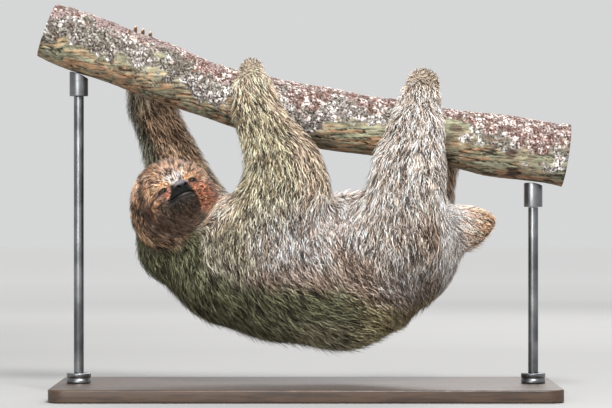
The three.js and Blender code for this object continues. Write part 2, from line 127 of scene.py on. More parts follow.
def object_place(tree, stretch=(1, 1, 1)):
    """Object coordinates, squeezed along each axis by stretch."""
    place = wire(tree, "TexCoord", {}).outputs["Object"]
    return wire(tree, "Mapping", {"Vector": place, "Scale": stretch}).outputs["Vector"]


def ramp(tree, factor, *stops):
    """A colour ramp through (place, colour) stops."""
    made = wire(tree, "ValToRGB", {"Fac": factor})
    while len(made.color_ramp.elements) < len(stops):
        made.color_ramp.elements.new(1.0)
    for element, (place, colour) in zip(made.color_ramp.elements, stops):
        element.position = place
        element.color = (*colour, 1.0)
    return made.outputs["Color"]


def spread(tree, factor, low, high):
    """Noise carried from its usual 0.3 to 0.7 onto the range from low to high."""
    sockets = {"Value": factor, "From Min": 0.3, "From Max": 0.7, "To Min": low, "To Max": high}
    return wire(tree, "MapRange", sockets).outputs["Result"]


def roughen(tree, shader, factor, low, high):
    """Spreads noise over the roughness."""
    tree.links.new(spread(tree, factor, low, high), shader.inputs["Roughness"])


def add_bump(tree, shader, height, strength, distance):
    """Bump of that height, its distance in metres."""
    sockets = {"Height": height, "Strength": strength, "Distance": distance}
    tree.links.new(wire(tree, "Bump", sockets).outputs["Normal"], shader.inputs["Normal"])


def rounded_outline(half, corner, inset, arc_steps=12):
    """The outline of a rectangle with round corners, moved in by inset: four arcs, joined by straights."""
    arcs = []
    for quarter, (sx, sy) in enumerate([(1, 1), (-1, 1), (-1, -1), (1, -1)]):
        angle = np.linspace(0, TURN / 4, arc_steps) + quarter * TURN / 4
        centre = np.array([sx * (half[0] - corner), sy * (half[1] - corner)])
        arcs.append(centre + (corner - inset) * np.stack([np.cos(angle), np.sin(angle)], -1))
    return np.concatenate(arcs)


# Both edges are quarter rounds, starting flat on the face and ending upright, or the other way.
quarter = np.linspace(0, TURN / 4, 6)
off_flat, off_upright = 1 - np.sin(quarter), 1 - np.cos(quarter)
board_insets = np.concatenate([
    FACE_INSETS, BOARD_EASE * off_flat, BOARD_EASE * off_upright, FACE_INSETS[::-1],
])
board_heights = np.concatenate([
    [0, 0], BOARD_EASE * off_upright, BOARD_THICKNESS - BOARD_EASE * off_flat, [BOARD_THICKNESS] * 2,
])
board_rings = []
for inset, height in zip(board_insets, board_heights):
    outline = rounded_outline(BOARD_HALF, max(BOARD_CORNER, inset + 1), inset)
    board_rings.append(np.column_stack([outline, np.full(len(outline), height)]))
board = make_piece("board", *closed_tube(np.array(board_rings)))

oiled = {"Specular IOR Level": 0.4, "Coat Weight": 0.15, "Coat Roughness": 0.3}
wood, tree, shader = new_finish("Oiled dark board", oiled)
grain = noise(tree, object_place(tree, (1.0, 14.0, 14.0)), 9.0, 6.0, 0.65)
pores = noise(tree, object_place(tree, (6.0, 120.0, 120.0)), 12.0, 2.0)
figure = ramp(tree, grain, (0.32, BOARD_DARK), (0.55, BOARD_LIGHT), (0.72, BOARD_DARK))
tree.links.new(figure, shader.inputs["Base Color"])
roughen(tree, shader, pores, 0.36, 0.6)
add_bump(tree, shader, pores, 0.25, 0.0006)
board.data.materials.append(wood)
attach(board, "root")
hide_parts("stand_base")

# ---- rods, collars and cradles -----------------------------------------------------------------------
# Two uprights of dark brushed steel rod stand in turned collars screwed to the board, and each carries a
# turned saddle whose cup follows the underside of the branch.
ROD_PLACES = {"left": -318, "right": 318}
ROD_RADIUS = 7
COLLAR_RADIUS = 17
COLLAR_HEIGHT = 14
CRADLE_RADIUS = 13
CRADLE_HEIGHT = 34
FIT_GAP = 0.4
ROD_CHAMFER, COLLAR_CHAMFER, CRADLE_CHAMFER = 0.6, 1.2, 0.8
GROOVE_DEPTH = 0.8
GROOVE_HEIGHTS = (5.2, 5.9, 7.3, 8.0)  # the edges and floor of the groove, up from the collar's foot
SADDLE_SHARES = (1, 0.985, 0.94, 0.8, 0.6, 0.4, 0.2, 0.05)  # the rings of the saddle's top, of its radius
SADDLE_LIP = (1.2, 0.4)  # how far the outermost of them are rounded down
SADDLE_CLEARANCE = 0.8
BRANCH_MIDDLE = 392.3  # the height of the branch's axis over the board's middle
BRANCH_FALL = 0.155  # how fast it falls to the right
BRANCH_BEND = 0.22  # how much faster left of the bend
BEND_PLACE, BEND_EASE = -70, 35
BRANCH_RADIUS = 42.5
STEEL_DARK = (0.11, 0.115, 0.12)
STEEL_LIGHT = (0.24, 0.245, 0.25)


def branch_height(x):
    """The axis of the branch: one slope to the right, a steeper one to the left, eased at the bend."""
    bend = BRANCH_BEND * BEND_EASE * np.logaddexp(0, (BEND_PLACE - x) / BEND_EASE)
    return BRANCH_MIDDLE - BRANCH_FALL * x + bend


def branch_slope(x):
    """How fast the axis rises with x: the derivative of its height."""
    return -BRANCH_FALL - BRANCH_BEND / (1 + np.exp(-(BEND_PLACE - x) / BEND_EASE))


def branch_radius(x):
    """The branch's radius: nearly even, with two slow swells along it."""
    return BRANCH_RADIUS + 0.004 * x + 1.6 * np.sin(x / 47 + 1.1) + 0.8 * np.sin(x / 19)


def turned(radii, heights, centre, sides=64):
    """A turned piece: circles of these radii at these heights round an upright axis through centre."""
    ring = np.stack([np.cos(full_turn(sides)), np.sin(full_turn(sides))], -1)
    flat = centre + np.asarray(radii, float)[:, None, None] * ring
    lift = np.broadcast_to(np.asarray(heights, float)[:, None, None], flat.shape[:2] + (1,))
    return np.concatenate([flat, lift], -1)


def eased(radius, low, high, chamfer):
    """Radii and heights of a turned bar from low to high with both edges rounded over."""
    face = [radius - 3 * chamfer]
    radii = np.concatenate([face, radius - chamfer * off_flat, radius - chamfer * off_upright, face])
    heights = np.concatenate([[low], low + chamfer * off_upright, high - chamfer * off_flat, [high]])
    return radii, heights


steel, tree, shader = new_finish("Dark brushed steel", {"Metallic": 1.0})
brushed = noise(tree, object_place(tree, (60.0, 60.0, 3.0)), 30.0, 3.0)
clouds = noise(tree, object_place(tree), 24.0, 3.0)
tree.links.new(ramp(tree, clouds, (0.35, STEEL_DARK), (0.65, STEEL_LIGHT)), shader.inputs["Base Color"])
roughen(tree, shader, brushed, 0.26, 0.44)
add_bump(tree, shader, brushed, 0.12, 0.0003)

for side, x in ROD_PLACES.items():
    floor = BOARD_THICKNESS + FIT_GAP
    under = branch_height(x) - branch_radius(x)
    cup = under - CRADLE_HEIGHT
    rod_turning = turned(*eased(ROD_RADIUS, floor, cup, ROD_CHAMFER), (x, 0), 48)
    rod = make_piece(f"rod_{side}", *closed_tube(rod_turning))
    # The collar's wall runs up outside, over a rounded lip with a shallow groove, and down the bore.
    bore = ROD_RADIUS + FIT_GAP
    outside, heights = eased(COLLAR_RADIUS, floor, floor + COLLAR_HEIGHT, COLLAR_CHAMFER)
    lower = len(outside) // 2
    groove = COLLAR_RADIUS - GROOVE_DEPTH * np.array([0, 1, 1, 0])
    radii = np.concatenate([[bore], outside[:lower], groove, outside[lower:], [bore, bore]])
    heights = np.concatenate([
        [floor], heights[:lower], floor + np.array(GROOVE_HEIGHTS), heights[lower:],
        [floor + COLLAR_HEIGHT, floor],
    ])
    rings = turned(radii, heights, (x, 0))
    count, sides, _ = rings.shape
    # The last ring is the first one again, so its corners are taken from that one.
    wall = tube_wall(count, sides) % ((count - 1) * sides)
    collar = make_piece(f"collar_{side}", rings[:-1].reshape(-1, 3), wall)
    # The saddle's top runs from the rim to the middle, each point as high as the bark above it allows.
    outside, heights = eased(CRADLE_RADIUS, cup + FIT_GAP, under, CRADLE_CHAMFER)
    radii = np.concatenate([outside[:lower], CRADLE_RADIUS * np.array(SADDLE_SHARES)])
    lip = np.zeros(len(SADDLE_SHARES))
    rings = turned(radii, np.concatenate([heights[:lower], lip]), (x, 0))
    top = rings[lower:]
    across = np.sqrt((branch_radius(top[..., 0]) + FIT_GAP) ** 2 - top[..., 1] ** 2)
    bark_above = branch_height(top[..., 0]) - across * np.sqrt(1 + branch_slope(top[..., 0]) ** 2)
    lip[:len(SADDLE_LIP)] = SADDLE_LIP
    top[..., 2] = bark_above - SADDLE_CLEARANCE - lip[:, None]
    cradle = make_piece(f"cradle_{side}", *closed_tube(rings))
    for piece, node in ((rod, "rod"), (collar, "collar"), (cradle, "cradle")):
        piece.data.materials.append(steel)
        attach(piece, "root")
        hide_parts(f"stand_{node}_{side}")

# ---- the branch ----------------------------------------------------------------------------------------
# A cut length of live branch, sawn square at both ends. Its upper face is crusted with white lobes of
# lichen and crumbles into pinkish flakes along the top. The lower face is smooth, grey-green and streaked
# with brown, with long thin cracks.
BRANCH_ENDS = (-362, 364)
BRANCH_RINGS = 470
BRANCH_SIDES = 184
CAP_RINGS = 20
LOBE_SIZE = 6.5
BARK_ROOM = 2.6  # the relief is cut this deep into the branch's outline, so nothing stands out of it
BARK_TONES = {
    "bare": (0.23, 0.195, 0.130), "sage": (0.235, 0.23, 0.155), "streak": (0.36, 0.200, 0.110),
    "crust": (0.86, 0.83, 0.80), "crust_shade": (0.30, 0.29, 0.25), "crumb": (0.41, 0.29, 0.26),
    "pale_crumb": (0.78, 0.70, 0.66), "mauve": (0.33, 0.255, 0.245), "red_gap": (0.085, 0.040, 0.030),
    "gap": (0.075, 0.058, 0.046), "pit": (0.26, 0.080, 0.040), "patch": (0.095, 0.060, 0.044),
    "crack": (0.030, 0.022, 0.016), "sapwood": (0.42, 0.31, 0.19), "heartwood": (0.22, 0.135, 0.075),
}


def lattice_random(cells, seed):
    """A repeatable random number from 0 to 1 for each whole-number cell of a lattice."""
    mixed = cells[..., 0] * 73856093 ^ cells[..., 1] * 19349663
    mixed = mixed ^ cells[..., 2] * 83492791 ^ seed * 2654435761
    mixed = (mixed ^ (mixed >> 13)) * 1274126177 & 0xFFFFFFFF
    mixed = (mixed ^ (mixed >> 15)) * 2246822519 & 0xFFFFFFFF
    return ((mixed ^ (mixed >> 16)) & 0xFFFFFF) / 0xFFFFFF


def value_noise(points, size, seed):
    """Random lattice values size apart, eased between the eight corners round each point."""
    place = points / size
    cell = np.floor(place).astype(np.int64)
    part = place - cell
    part = part * part * (3 - 2 * part)
    total = np.zeros(len(points))
    for corner in np.ndindex(2, 2, 2):
        share = np.where(corner, part, 1 - part).prod(-1)
        total += share * lattice_random(cell + corner, seed)
    return total


def fractal(points, size, seed, octaves=3):
    """Octaves of value noise, each half the size and half the strength of the last, from 0 to 1."""
    strength = 0.5 ** np.arange(octaves)
    layers = [value_noise(points, size * s, seed + i) * s for i, s in enumerate(strength)]
    return sum(layers) / strength.sum()


def nearest_cell(points, size, seed):
    """The nearest of a lattice's jittered points, how far off it and the next are, and its own number."""
    cell = np.floor(points / size).astype(np.int64)
    best = np.full(len(points), np.inf)
    second = best.copy()
    centre = np.zeros_like(points)
    own = np.zeros(len(points))
    for shift in np.ndindex(3, 3, 3):
        other = cell + shift - 1
        jitter = np.stack([lattice_random(other, seed + k) for k in range(3)], -1)
        place = (other + jitter) * size
        far = np.sqrt(((points - place) ** 2).sum(-1))
        closer = far < best
        second = np.where(closer, best, np.minimum(second, far))
        centre = np.where(closer[:, None], place, centre)
        own = np.where(closer, lattice_random(other, seed + 3), own)
        best = np.minimum(best, far)
    return centre, best, second, own


def ease_between(value, low, high):
    """0 at low, 1 at high (which may be the lower number), eased between them."""
    t = np.clip((value - low) / (high - low), 0, 1)
    return t * t * (3 - 2 * t)


def layered(colour, *layers):
    """A colour, or rows of them, moved towards each layer's own colour by that layer's share, in turn."""
    colour = np.asarray(colour)
    for other, share in layers:
        colour = colour + (np.asarray(other) - colour) * share[..., None]
    return colour


def bell(value, middle, width):
    """1 at the middle, falling to nothing over a few widths."""
    return np.exp(-(((value - middle) / width) ** 2))


def paint(mesh, name, colours, gloss=None):
    """Keeps a colour for each vertex, with gloss in its fourth channel, as the attribute of that name."""
    layer = mesh.color_attributes.new(name, "FLOAT_COLOR", "POINT")
    extra = np.ones(len(colours)) if gloss is None else gloss
    layer.data.foreach_set("color", np.column_stack([colours, extra]).astype(np.float32).ravel())


def branch_axis(x):
    """The points of the branch's axis at each x."""
    return np.stack([x, 0 * x, branch_height(x)], -1)


ring_x = np.linspace(*BRANCH_ENDS, BRANCH_RINGS)
turn = full_turn(BRANCH_SIDES)
slope = branch_slope(ring_x)
along = np.stack([np.ones_like(slope), 0 * slope, slope], -1) / np.sqrt(1 + slope**2)[:, None]
down = np.stack([along[:, 2], 0 * slope, -along[:, 0]], -1)
across = np.array([0.0, 1.0, 0.0])
axis_points = branch_axis(ring_x)
outward = down[:, None] * np.cos(turn)[None, :, None] + across * np.sin(turn)[None, :, None]
knobs = 0.7 * np.sin(3 * turn + ring_x[:, None] / 31) + 0.6 * np.sin(2 * turn - ring_x[:, None] / 23)
outline = branch_radius(ring_x)[:, None] + knobs

bark = (axis_points[:, None] + outward * outline[..., None]).reshape(-1, 3)
bark_x = bark[:, 0]
facing_up = -np.broadcast_to(np.cos(turn), outline.shape).ravel()
warp = np.stack([fractal(bark, 7, 110 + 10 * k, 2) for k in range(3)], -1) - 0.5
ragged = fractal(bark, 9, 11, 3) - 0.5
band = facing_up + 1.5 * (fractal(bark, 46, 3, 2) - 0.5) + 1.1 * ragged
winding = 1 - np.abs(2 * fractal(bark + 7 * warp, 10, 21, 3) - 1)
gap = ease_between(winding, 0.77, 0.89)
_, lobe_far, lobe_next, lobe_own = nearest_cell(bark + 7 * warp, LOBE_SIZE, 25)
gap = np.maximum(gap, ease_between(lobe_next - lobe_far, 1.4, 0.4))
crumbs = ease_between(band + 0.0008 * (bark_x + 40), 0.50, 0.64)
patchy = fractal(bark, 34, 31, 3) + 0.16 * ease_between(bark_x, 130, 70)
crust = ease_between(band, -0.42, -0.22) * ease_between(patchy, 0.40, 0.45) * (1 - crumbs)
patches = ease_between(fractal(bark * [0.5, 1, 1], 13, 61, 4), 0.62, 0.70)
patches *= ease_between(bark_x, 170, 230)
crust *= 1 - patches
_, pit_far, _, pit_own = nearest_cell(bark + 4 * warp, 11, 401)
pits = ease_between(pit_far, 2.2, 1.6) * (pit_own > 0.72) * np.maximum(crust, crumbs)
ridges = 1 - np.abs(2 * fractal(bark * [0.12, 1, 1], 8, 41, 3) - 1)
cracks = ease_between(ridges, 0.92, 0.985) * (1 - 0.85 * crust) * (1 - crumbs)
cracks *= ease_between(facing_up, 0.3, -0.2)
streaks = ease_between(fractal(bark * [0.10, 1, 1], 5, 81, 3), 0.44, 0.58)
streaks *= ease_between(band, -0.15, -0.75)
plated = np.maximum(crust, crumbs)
relief = 1.0 + 0.9 * (fractal(bark, 15, 71, 3) - 0.5) + crust * (0.3 + 0.8 * lobe_own)
relief += crumbs * (3.8 * fractal(bark, 8, 77, 3) - 1.1) - plated * gap * 1.1 - 1.0 * cracks
relief += 0.5 * (fractal(bark, 4, 75, 2) - 0.5) - 0.5 * patches - 0.8 * pits
radius = outline - BARK_ROOM + np.clip(relief, 0, BARK_ROOM).reshape(outline.shape)

tones = {name: np.array(colour) for name, colour in BARK_TONES.items()}
tone = layered(tones["bare"], (tones["sage"], ease_between(fractal(bark, 30, 85), 0.35, 0.5)))
tone *= (0.40 + 1.2 * fractal(bark * [0.5, 1, 1], 7, 91, 3))[:, None]
tone = layered(tone, (tones["streak"], 0.8 * streaks), (tones["patch"], patches))
# The underside is painted up to a fifth darker: painted shade.
tone *= ease_between(facing_up, -1.3, -0.3)[:, None] * 0.25 + 0.75
shaded = fractal(bark, 11, 95, 3) + 0.06 * ease_between(bark_x, -100, -180)
shaded = ease_between(shaded, 0.45, 0.55) * (0.95 - 0.75 * bell(bark_x, 40, 60))
crust_tone = tones["crust"] * (0.75 + 0.35 * lobe_own)[:, None]
crust_tone = layered(crust_tone, (tones["crust_shade"], shaded), (tones["gap"], 0.85 * gap))
smooth_top = ease_between(fractal(bark, 24, 99, 2), 0.48, 0.56) * ease_between(bark_x, -60, -120)
crumb_tone = layered(
    tones["crumb"],
    (tones["pale_crumb"], ease_between(fractal(bark, 6, 97, 2), 0.42, 0.54)),
    (tones["mauve"], smooth_top), (tones["red_gap"], 0.85 * gap * (1 - 0.7 * smooth_top)),
)
tone = layered(
    tone, (crust_tone, crust), (crumb_tone, crumbs), (tones["pit"], 0.8 * pits), (tones["crack"], cracks),
)
tone = np.clip(tone, 0.01, 0.9)


def sawn_end(end):
    """Rings from the bark of one end in to the pith, with the saw's faint steps, and their colours."""
    share = np.linspace(1, 0.03, CAP_RINGS)[:, None, None]
    rim = axis_points[end] + outward[end] * radius[end][:, None]
    wobble = 0.10 * np.sin(share[..., 0] * 70 + 0.6 * np.sin(2 * turn)) * (share[..., 0] < 0.95)
    drift = along[end] * wobble[..., None] * (1 if end else -1)
    rings = axis_points[end] + (rim - axis_points[end]) * share + drift
    years = 0.5 + 0.5 * np.sin(share[..., 0] * 60 + 0.8 * np.sin(2 * turn + 1) + 0.5 * np.sin(3 * turn))
    face = tones["sapwood"] * (0.62 + 0.38 * years[..., None])
    core, bark_skin = ease_between(share[..., 0], 0.55, 0.2), (share[..., 0] > 0.93) * np.ones_like(years)
    return rings, layered(face, (tones["heartwood"], core), (tones["patch"], bark_skin))


first_cap, first_tone = sawn_end(0)
last_cap, last_tone = sawn_end(BRANCH_RINGS - 1)
middle = axis_points[:, None] + outward * radius[..., None]
rings = np.concatenate([first_cap[:0:-1], middle, last_cap[1:]])
tone = np.concatenate([first_tone[:0:-1], tone.reshape(*outline.shape, 3), last_tone[1:]])
branch = make_piece("perch", *closed_tube(rings))
plated = np.pad(plated.reshape(outline.shape), ((CAP_RINGS - 1, CAP_RINGS - 1), (0, 0)))
poles = [tones["heartwood"]] * 2
paint(branch.data, "Bark", np.concatenate([tone.reshape(-1, 3), poles]), np.append(plated, [0, 0]))


def tint_by(tree, shader, painted, strength):
    """Joins a painted layer's colours, multiplied by a strength, to the base colour."""
    sockets = {0: painted.outputs["Color"], 1: strength}
    tint = wire(tree, "VectorMath", sockets, operation="MULTIPLY")
    tree.links.new(tint.outputs["Vector"], shader.inputs["Base Color"])


bark_finish, tree, shader = new_finish("Lichened bark", {"Specular IOR Level": 0.25})
place = object_place(tree)
painted = wire(tree, "VertexColor", {}, layer_name="Bark")
crumbly = noise(tree, place, 360.0, 6.0, 0.74)
grain = noise(tree, object_place(tree, (0.16, 1.0, 1.0)), 300.0, 5.0, 0.7)
# Smooth bark is only mottled; the crust and flakes are broken up by their own small dark holes.
holes = ramp(tree, crumbly, (0.44, (0.085, 0.055, 0.042)), (0.495, (0.80, 0.78, 0.76)), (0.60, [1.20] * 3))
mottled = ramp(tree, grain, (0.36, (0.30, 0.27, 0.24)), (0.50, [0.95] * 3), (0.64, (1.55, 1.55, 1.50)))
broken = wire(tree, "Mix", {0: painted.outputs["Alpha"], 6: mottled, 7: holes}, data_type="RGBA")
tint_by(tree, shader, painted, broken.outputs[2])
roughen(tree, shader, noise(tree, place, 220.0), 0.78, 0.98)
add_bump(tree, shader, crumbly, 0.85, 0.0022)
branch.data.materials.append(bark_finish)
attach(branch, "root")
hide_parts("branch")

# ---- the skin ----------------------------------------------------------------------------------------
# One unbroken cast skin over the whole animal, under the coat. Each limb, the trunk, neck and tail is a
# chain of rounded cones melted into its neighbours, and the head is ellipsoids, with lids, folds, nostrils
# and the mouth's line cut in. Only the muzzle and lids stay bare, and there it is dark and damp.
NEAR, FAR = -1, 1


def round_branch(x, phi, distance, side):
    """A point at that angle, in degrees, and distance round the branch's axis, up from level with it."""
    slope = branch_slope(x)
    up = np.stack([-slope, 0 * slope, 1 + 0 * slope], -1) / np.sqrt(1 + slope**2)[..., None]
    level, lift = distance * np.cos(np.radians(phi)), distance * np.sin(np.radians(phi))
    return branch_axis(x) + [0, side, 0] * level[..., None] + up * lift[..., None]


def on_branch(x, phi, distance, radius, depth, side):
    """A link of a hand or foot that lies on the branch."""
    return (*round_branch(*np.array([x, phi, distance], float), side), radius, depth)


# Each link is x, y, z, the radius out to the coat's tips, and how deep the coat is there.
TRUNK = {"flat": 1.14, "links": [
    (-180, 2, 212, 60, 14), (-106, 0, 191, 93, 16), (-36, 0, 178, 102, 17),
    (50, 0, 168, 104, 17), (84, 0, 176, 92, 16), (140, 0, 196, 74, 15),
]}
BELLY = {"flat": 1.0, "links": [(10, 0, 200, 68, 13), (72, 0, 224, 66, 13)]}
TAIL = {"flat": 1.1, "links": [
    (186, 0, 230, 40, 12), (220, 0, 236, 32, 10), (240, 0, 242, 22, 9), (256, 0, 246, 11, 7),
]}
NECK = {"flat": 1.0, "links": [(-140, 0, 214, 58, 13), (-172, -12, 246, 50, 9)]}
RIGHT_ARM = {"flat": 1.3, "links": [
    (-60, -56, 226, 66, 15), (-27, -66, 288, 62, 15), (-31, -72, 322, 54, 14), (-67, -70, 396, 36, 11),
    (-73, -64, 428, 29, 9), on_branch(-88, 60, 51, 18, 6, NEAR), on_branch(-87, 86, 44, 14.5, 5, NEAR),
]}
RIGHT_LEG = {"flat": 1.3, "links": [
    (134, -56, 228, 68, 15), (142, -74, 322, 52, 14), (152, -73, 372, 40, 11), (157, -60, 410, 30, 9),
    (163, -22, 435, 25, 7), (170, 14, 431, 20, 5),
]}
LEFT_ARM = {"flat": 1.2, "links": [
    (-142, 52, 236, 54, 12), (-190, 70, 332, 41, 10), (-220, 68, 408, 35, 8),
    on_branch(-244, 2, 59, 22, 6, FAR), on_branch(-245, 34, 51, 14, 5, FAR),
]}
LEFT_LEG = {"flat": 1.2, "links": [
    (146, 50, 230, 66, 14), (177, 72, 322, 41, 11), (166, 70, 372, 30, 8),
    on_branch(143, 36, 58, 21, 6, FAR), on_branch(141, 62, 50, 15, 5, FAR),
]}
LIMBS = {"arm_right": RIGHT_ARM, "arm_left": LEFT_ARM, "leg_right": RIGHT_LEG, "leg_left": LEFT_LEG}
LINK_BLEND, NECK_BLEND, TAIL_BLEND, BELLY_BLEND, LIMB_BLEND, HEAD_BLEND = 9, 20, 26, 30, 34, 9
BARK_CLEARANCE = 0.8
HEAD_REACH = 96  # the head is worked out no further from its centre than this

HEAD_CENTRE = np.array([-182.5, -26, 272.5])
FACING = np.array([0.19, -0.91, 0.36])
FACING /= np.linalg.norm(FACING)
CROWN = np.array([-0.44, 0.25, 0.9])
CROWN -= CROWN.dot(FACING) * FACING
CROWN /= np.linalg.norm(CROWN)
CHEEK = np.cross(CROWN, FACING)  # towards the sloth's left cheek
HEAD_AXES = np.stack([CHEEK, FACING, CROWN])
# Each mass of the head is its centre, its radii out to the coat's tips, the coat's depth, and its blend.
HEAD_MASSES = [
    ((0, 0, 0), (61.5, 48, 64), (9.5, 3, 11.5), 0),
    ((-20, -8, -14), (48, 42, 47), (14, 12, 13), 12),
    ((0, 40, -4), (17, 23, 14), (1.5, 1.2, 1.4), 8),
    ((0, 39, -18), (20, 18, 14), (3, 2.4, 3), 12),
    ((0, 59.5, 2), (10.5, 6.5, 7), (0.5, 0.4, 0.5), 5),
]
BROW = ((21, 37.5, 16), (14, 6.5, 6))  # the centre and radii of each of a pair, on the sloth's left
CHEEK_PAD = ((28, 35.5, -5), (14, 8, 9))
EYE = {"sideways": 22, "forward": 41.3, "upward": 6, "radius": 6.0}
LID_THICKNESS = 1.1
SLIT = (5.8, 2.4)  # half the width and half the height of the opening between the lids
SLIT_DROOP = 0.16  # how fast the slit falls towards its outer corner
MOUTH_LINE = -10.3
NOSTRIL = {"sideways": 5.4, "forward": 64.6, "upward": -2.0, "radii": (2.9, 4.2, 2.4)}


def smooth_min(a, b, k):
    """The lower of two fields, melted together where they differ by less than k."""
    h = np.maximum(k - np.abs(a - b), 0) / k
    return np.minimum(a, b) - h * h * (k / 4)


def chain_field(points, chain, lift):
    """Distance to a chain of rounded cones, flat squeezing it along Y. Lift 0 is the skin, and 1 the coat's
    tips."""
    nearest = None
    links = np.array(chain["links"], np.float32)
    for a, b in zip(links[:-1], links[1:]):
        reach = b[:3] - a[:3]
        off = points - a[:3]
        t = np.clip(off @ (reach / reach.dot(reach)), 0, 1)
        off = off - t[:, None] * reach
        thick = a[3] + t * (b[3] - a[3]) - (1 - lift) * (a[4] + t * (b[4] - a[4]))
        flat = np.float32(chain["flat"])
        off_axis = np.sqrt(off[:, 0] ** 2 + (flat * off[:, 1]) ** 2 + off[:, 2] ** 2) - thick
        nearest = off_axis if nearest is None else smooth_min(nearest, off_axis, LINK_BLEND)
    return nearest


def in_head(points):
    """Points in the head's own axes: sideways, forward and upward from its centre."""
    return (points - HEAD_CENTRE) @ HEAD_AXES.T


def ellipsoid_field(q, centre, radii):
    """Near its surface, the distance to an ellipsoid."""
    off = q - np.asarray(centre)
    k0 = np.sqrt(((off / radii) ** 2).sum(-1))
    k1 = np.sqrt(((off / radii**2) ** 2).sum(-1))
    return k0 * (k0 - 1) / np.maximum(k1, 1e-9)


def head_field(q, lift):
    """The head's ellipsoids melted together, at that lift through the coat."""
    lift = np.asarray(lift)
    found = None
    for centre, radii, depth, blend in HEAD_MASSES:
        size = np.array(radii, float) - (1 - lift)[..., None] * np.array(depth, float)
        mass = ellipsoid_field(q, centre, size)
        found = mass if found is None else smooth_min(found, mass, blend)
    return found


def eye_plane(q):
    """Where points lie round the nearer eye: outwards, forward and upward, less the slit's droop."""
    out = np.abs(q[:, 0]) - EYE["sideways"]
    return out, q[:, 1] - EYE["forward"], q[:, 2] - EYE["upward"] + SLIT_DROOP * out


def mouth_line(side):
    """The mouth's height across the face: level, turned up a little at its corners."""
    return MOUTH_LINE + 1.4 * ease_between(np.abs(side), 12, 24)


def face_field(q):
    """The bare skin of the head with its lids, brows, folds, nostrils and mouth."""
    side, forward, upward = q.T
    wide = np.abs(side)
    d = head_field(q, 0.0)
    mirrored = np.stack([wide, forward, upward], -1)
    for centre, radii in (BROW, CHEEK_PAD):
        d = smooth_min(d, ellipsoid_field(mirrored, centre, np.array(radii)), 6)
    out, ahead, over = eye_plane(q)
    ball = np.sqrt(out**2 + ahead**2 + (upward - EYE["upward"]) ** 2)
    d = smooth_min(d, ball - EYE["radius"] - LID_THICKNESS, 5)
    ring = np.hypot(out, over)
    front = ease_between(ahead, -4, 2)
    d += front * 0.75 * bell(ring, 8.6, 0.9) * ease_between(over, 0, 3)  # the fold over the upper lid
    d += front * 0.55 * bell(ring, 9.4, 0.9) * ease_between(over, -1, -4)  # the bag under the lower lid
    slit = (np.hypot(out / SLIT[0], over / SLIT[1]) - 1) * SLIT[1]
    slit = np.maximum(slit, 1.0 - ahead)
    d = -smooth_min(-d, slit, 0.9)
    # The mouth, the groove under the nose, the nostrils and the folds beside the muzzle.
    muzzle = ease_between(forward, 38, 44)
    d += muzzle * 1.7 * bell(upward, mouth_line(side), 0.9) * ease_between(wide, 25, 21)
    d += muzzle * 0.7 * bell(side, 0, 0.7) * bell(upward, -6, 3.2)
    fold = 11 + 0.55 * (4 - upward)
    d += muzzle * 0.5 * bell(wide, fold, 1.2) * ease_between(upward, -10, -4) * ease_between(upward, 8, 3)
    hole = np.stack([wide - 0.35 * (upward - NOSTRIL["upward"]), forward, upward], -1)
    hole_centre = (NOSTRIL["sideways"], NOSTRIL["forward"], NOSTRIL["upward"])
    off_hole = np.hypot(hole[:, 0] - hole_centre[0], upward - hole_centre[2])
    d -= 0.45 * bell(off_hole, 3.3, 0.9) * (forward > 58)
    d = -smooth_min(-d, ellipsoid_field(hole, hole_centre, np.array(NOSTRIL["radii"])), 0.8)
    return d


def branch_field(points):
    """Distance to the bark's outline."""
    x = points[:, 0]
    slope = branch_slope(x)
    above = (points[:, 2] - branch_height(x)) / np.sqrt(1 + slope**2)
    return np.hypot(points[:, 1], above) - branch_radius(x)


def flesh_field(points, lift, head_of=head_field):
    """The whole animal: the limbs melted into the trunk, tail and neck, with the head melted on."""
    core = smooth_min(chain_field(points, TRUNK, lift), chain_field(points, BELLY, lift), BELLY_BLEND)
    core = smooth_min(core, chain_field(points, TAIL, lift), TAIL_BLEND)
    core = smooth_min(core, chain_field(points, NECK, lift), NECK_BLEND)
    found = None
    for limb in LIMBS.values():
        joined = smooth_min(core, chain_field(points, limb, lift), LIMB_BLEND)
        found = joined if found is None else np.minimum(found, joined)
    q = in_head(points)
    close = (q**2).sum(-1) < HEAD_REACH**2
    if close.any():
        head = head_of(q[close], lift[close] if np.ndim(lift) else lift)
        found[close] = smooth_min(found[close], head, HEAD_BLEND)
    return found


def skin_field(points):
    """The skin itself, kept off the bark."""
    flesh = flesh_field(points, 0.0, lambda q, lift: face_field(q))
    return np.maximum(flesh, BARK_CLEARANCE - branch_field(points))


def in_batches(field, points, *others, batch=60000):
    """Works a field out a batch of points at a time."""
    cuts = range(0, len(points), batch)
    return np.concatenate([field(points[i:i + batch], *[o[i:i + batch] for o in others]) for i in cuts])


def slope_of(field, points, *others, step=0.4):
    """A field's value at each point and its slope, from a short step along each axis."""
    here = in_batches(field, points, *others)
    steps = [in_batches(field, points + step * axis, *others) - here for axis in np.eye(3)]
    return here, np.stack(steps, -1) / step


def settle(field, points, reach, *others, rounds=3):
    """Moves points down a field's slope onto its zero surface, by no more than reach."""
    start = points
    for _ in range(rounds):
        value, slope = slope_of(field, points, *others)
        points = points - slope * (value / np.maximum((slope**2).sum(-1), 0.25))[:, None]
    move = points - start
    far = np.linalg.norm(move, axis=-1)
    return start + move * np.minimum(1, reach / np.maximum(far, 1e-9))[:, None]


def grid_line(low, high, fine_low, fine_high, fine=0.9, coarse=6.0, growth=0.22):
    """Places along an axis, close together over the face and further apart away from it."""
    places = list(np.arange(fine_low, fine_high, fine))
    while places[-1] < high:
        places.append(places[-1] + min(fine + growth * (places[-1] - fine_high), coarse))
    while places[0] > low:
        places.insert(0, places[0] - min(fine + growth * (fine_low - places[0]), coarse))
    return np.array(places)


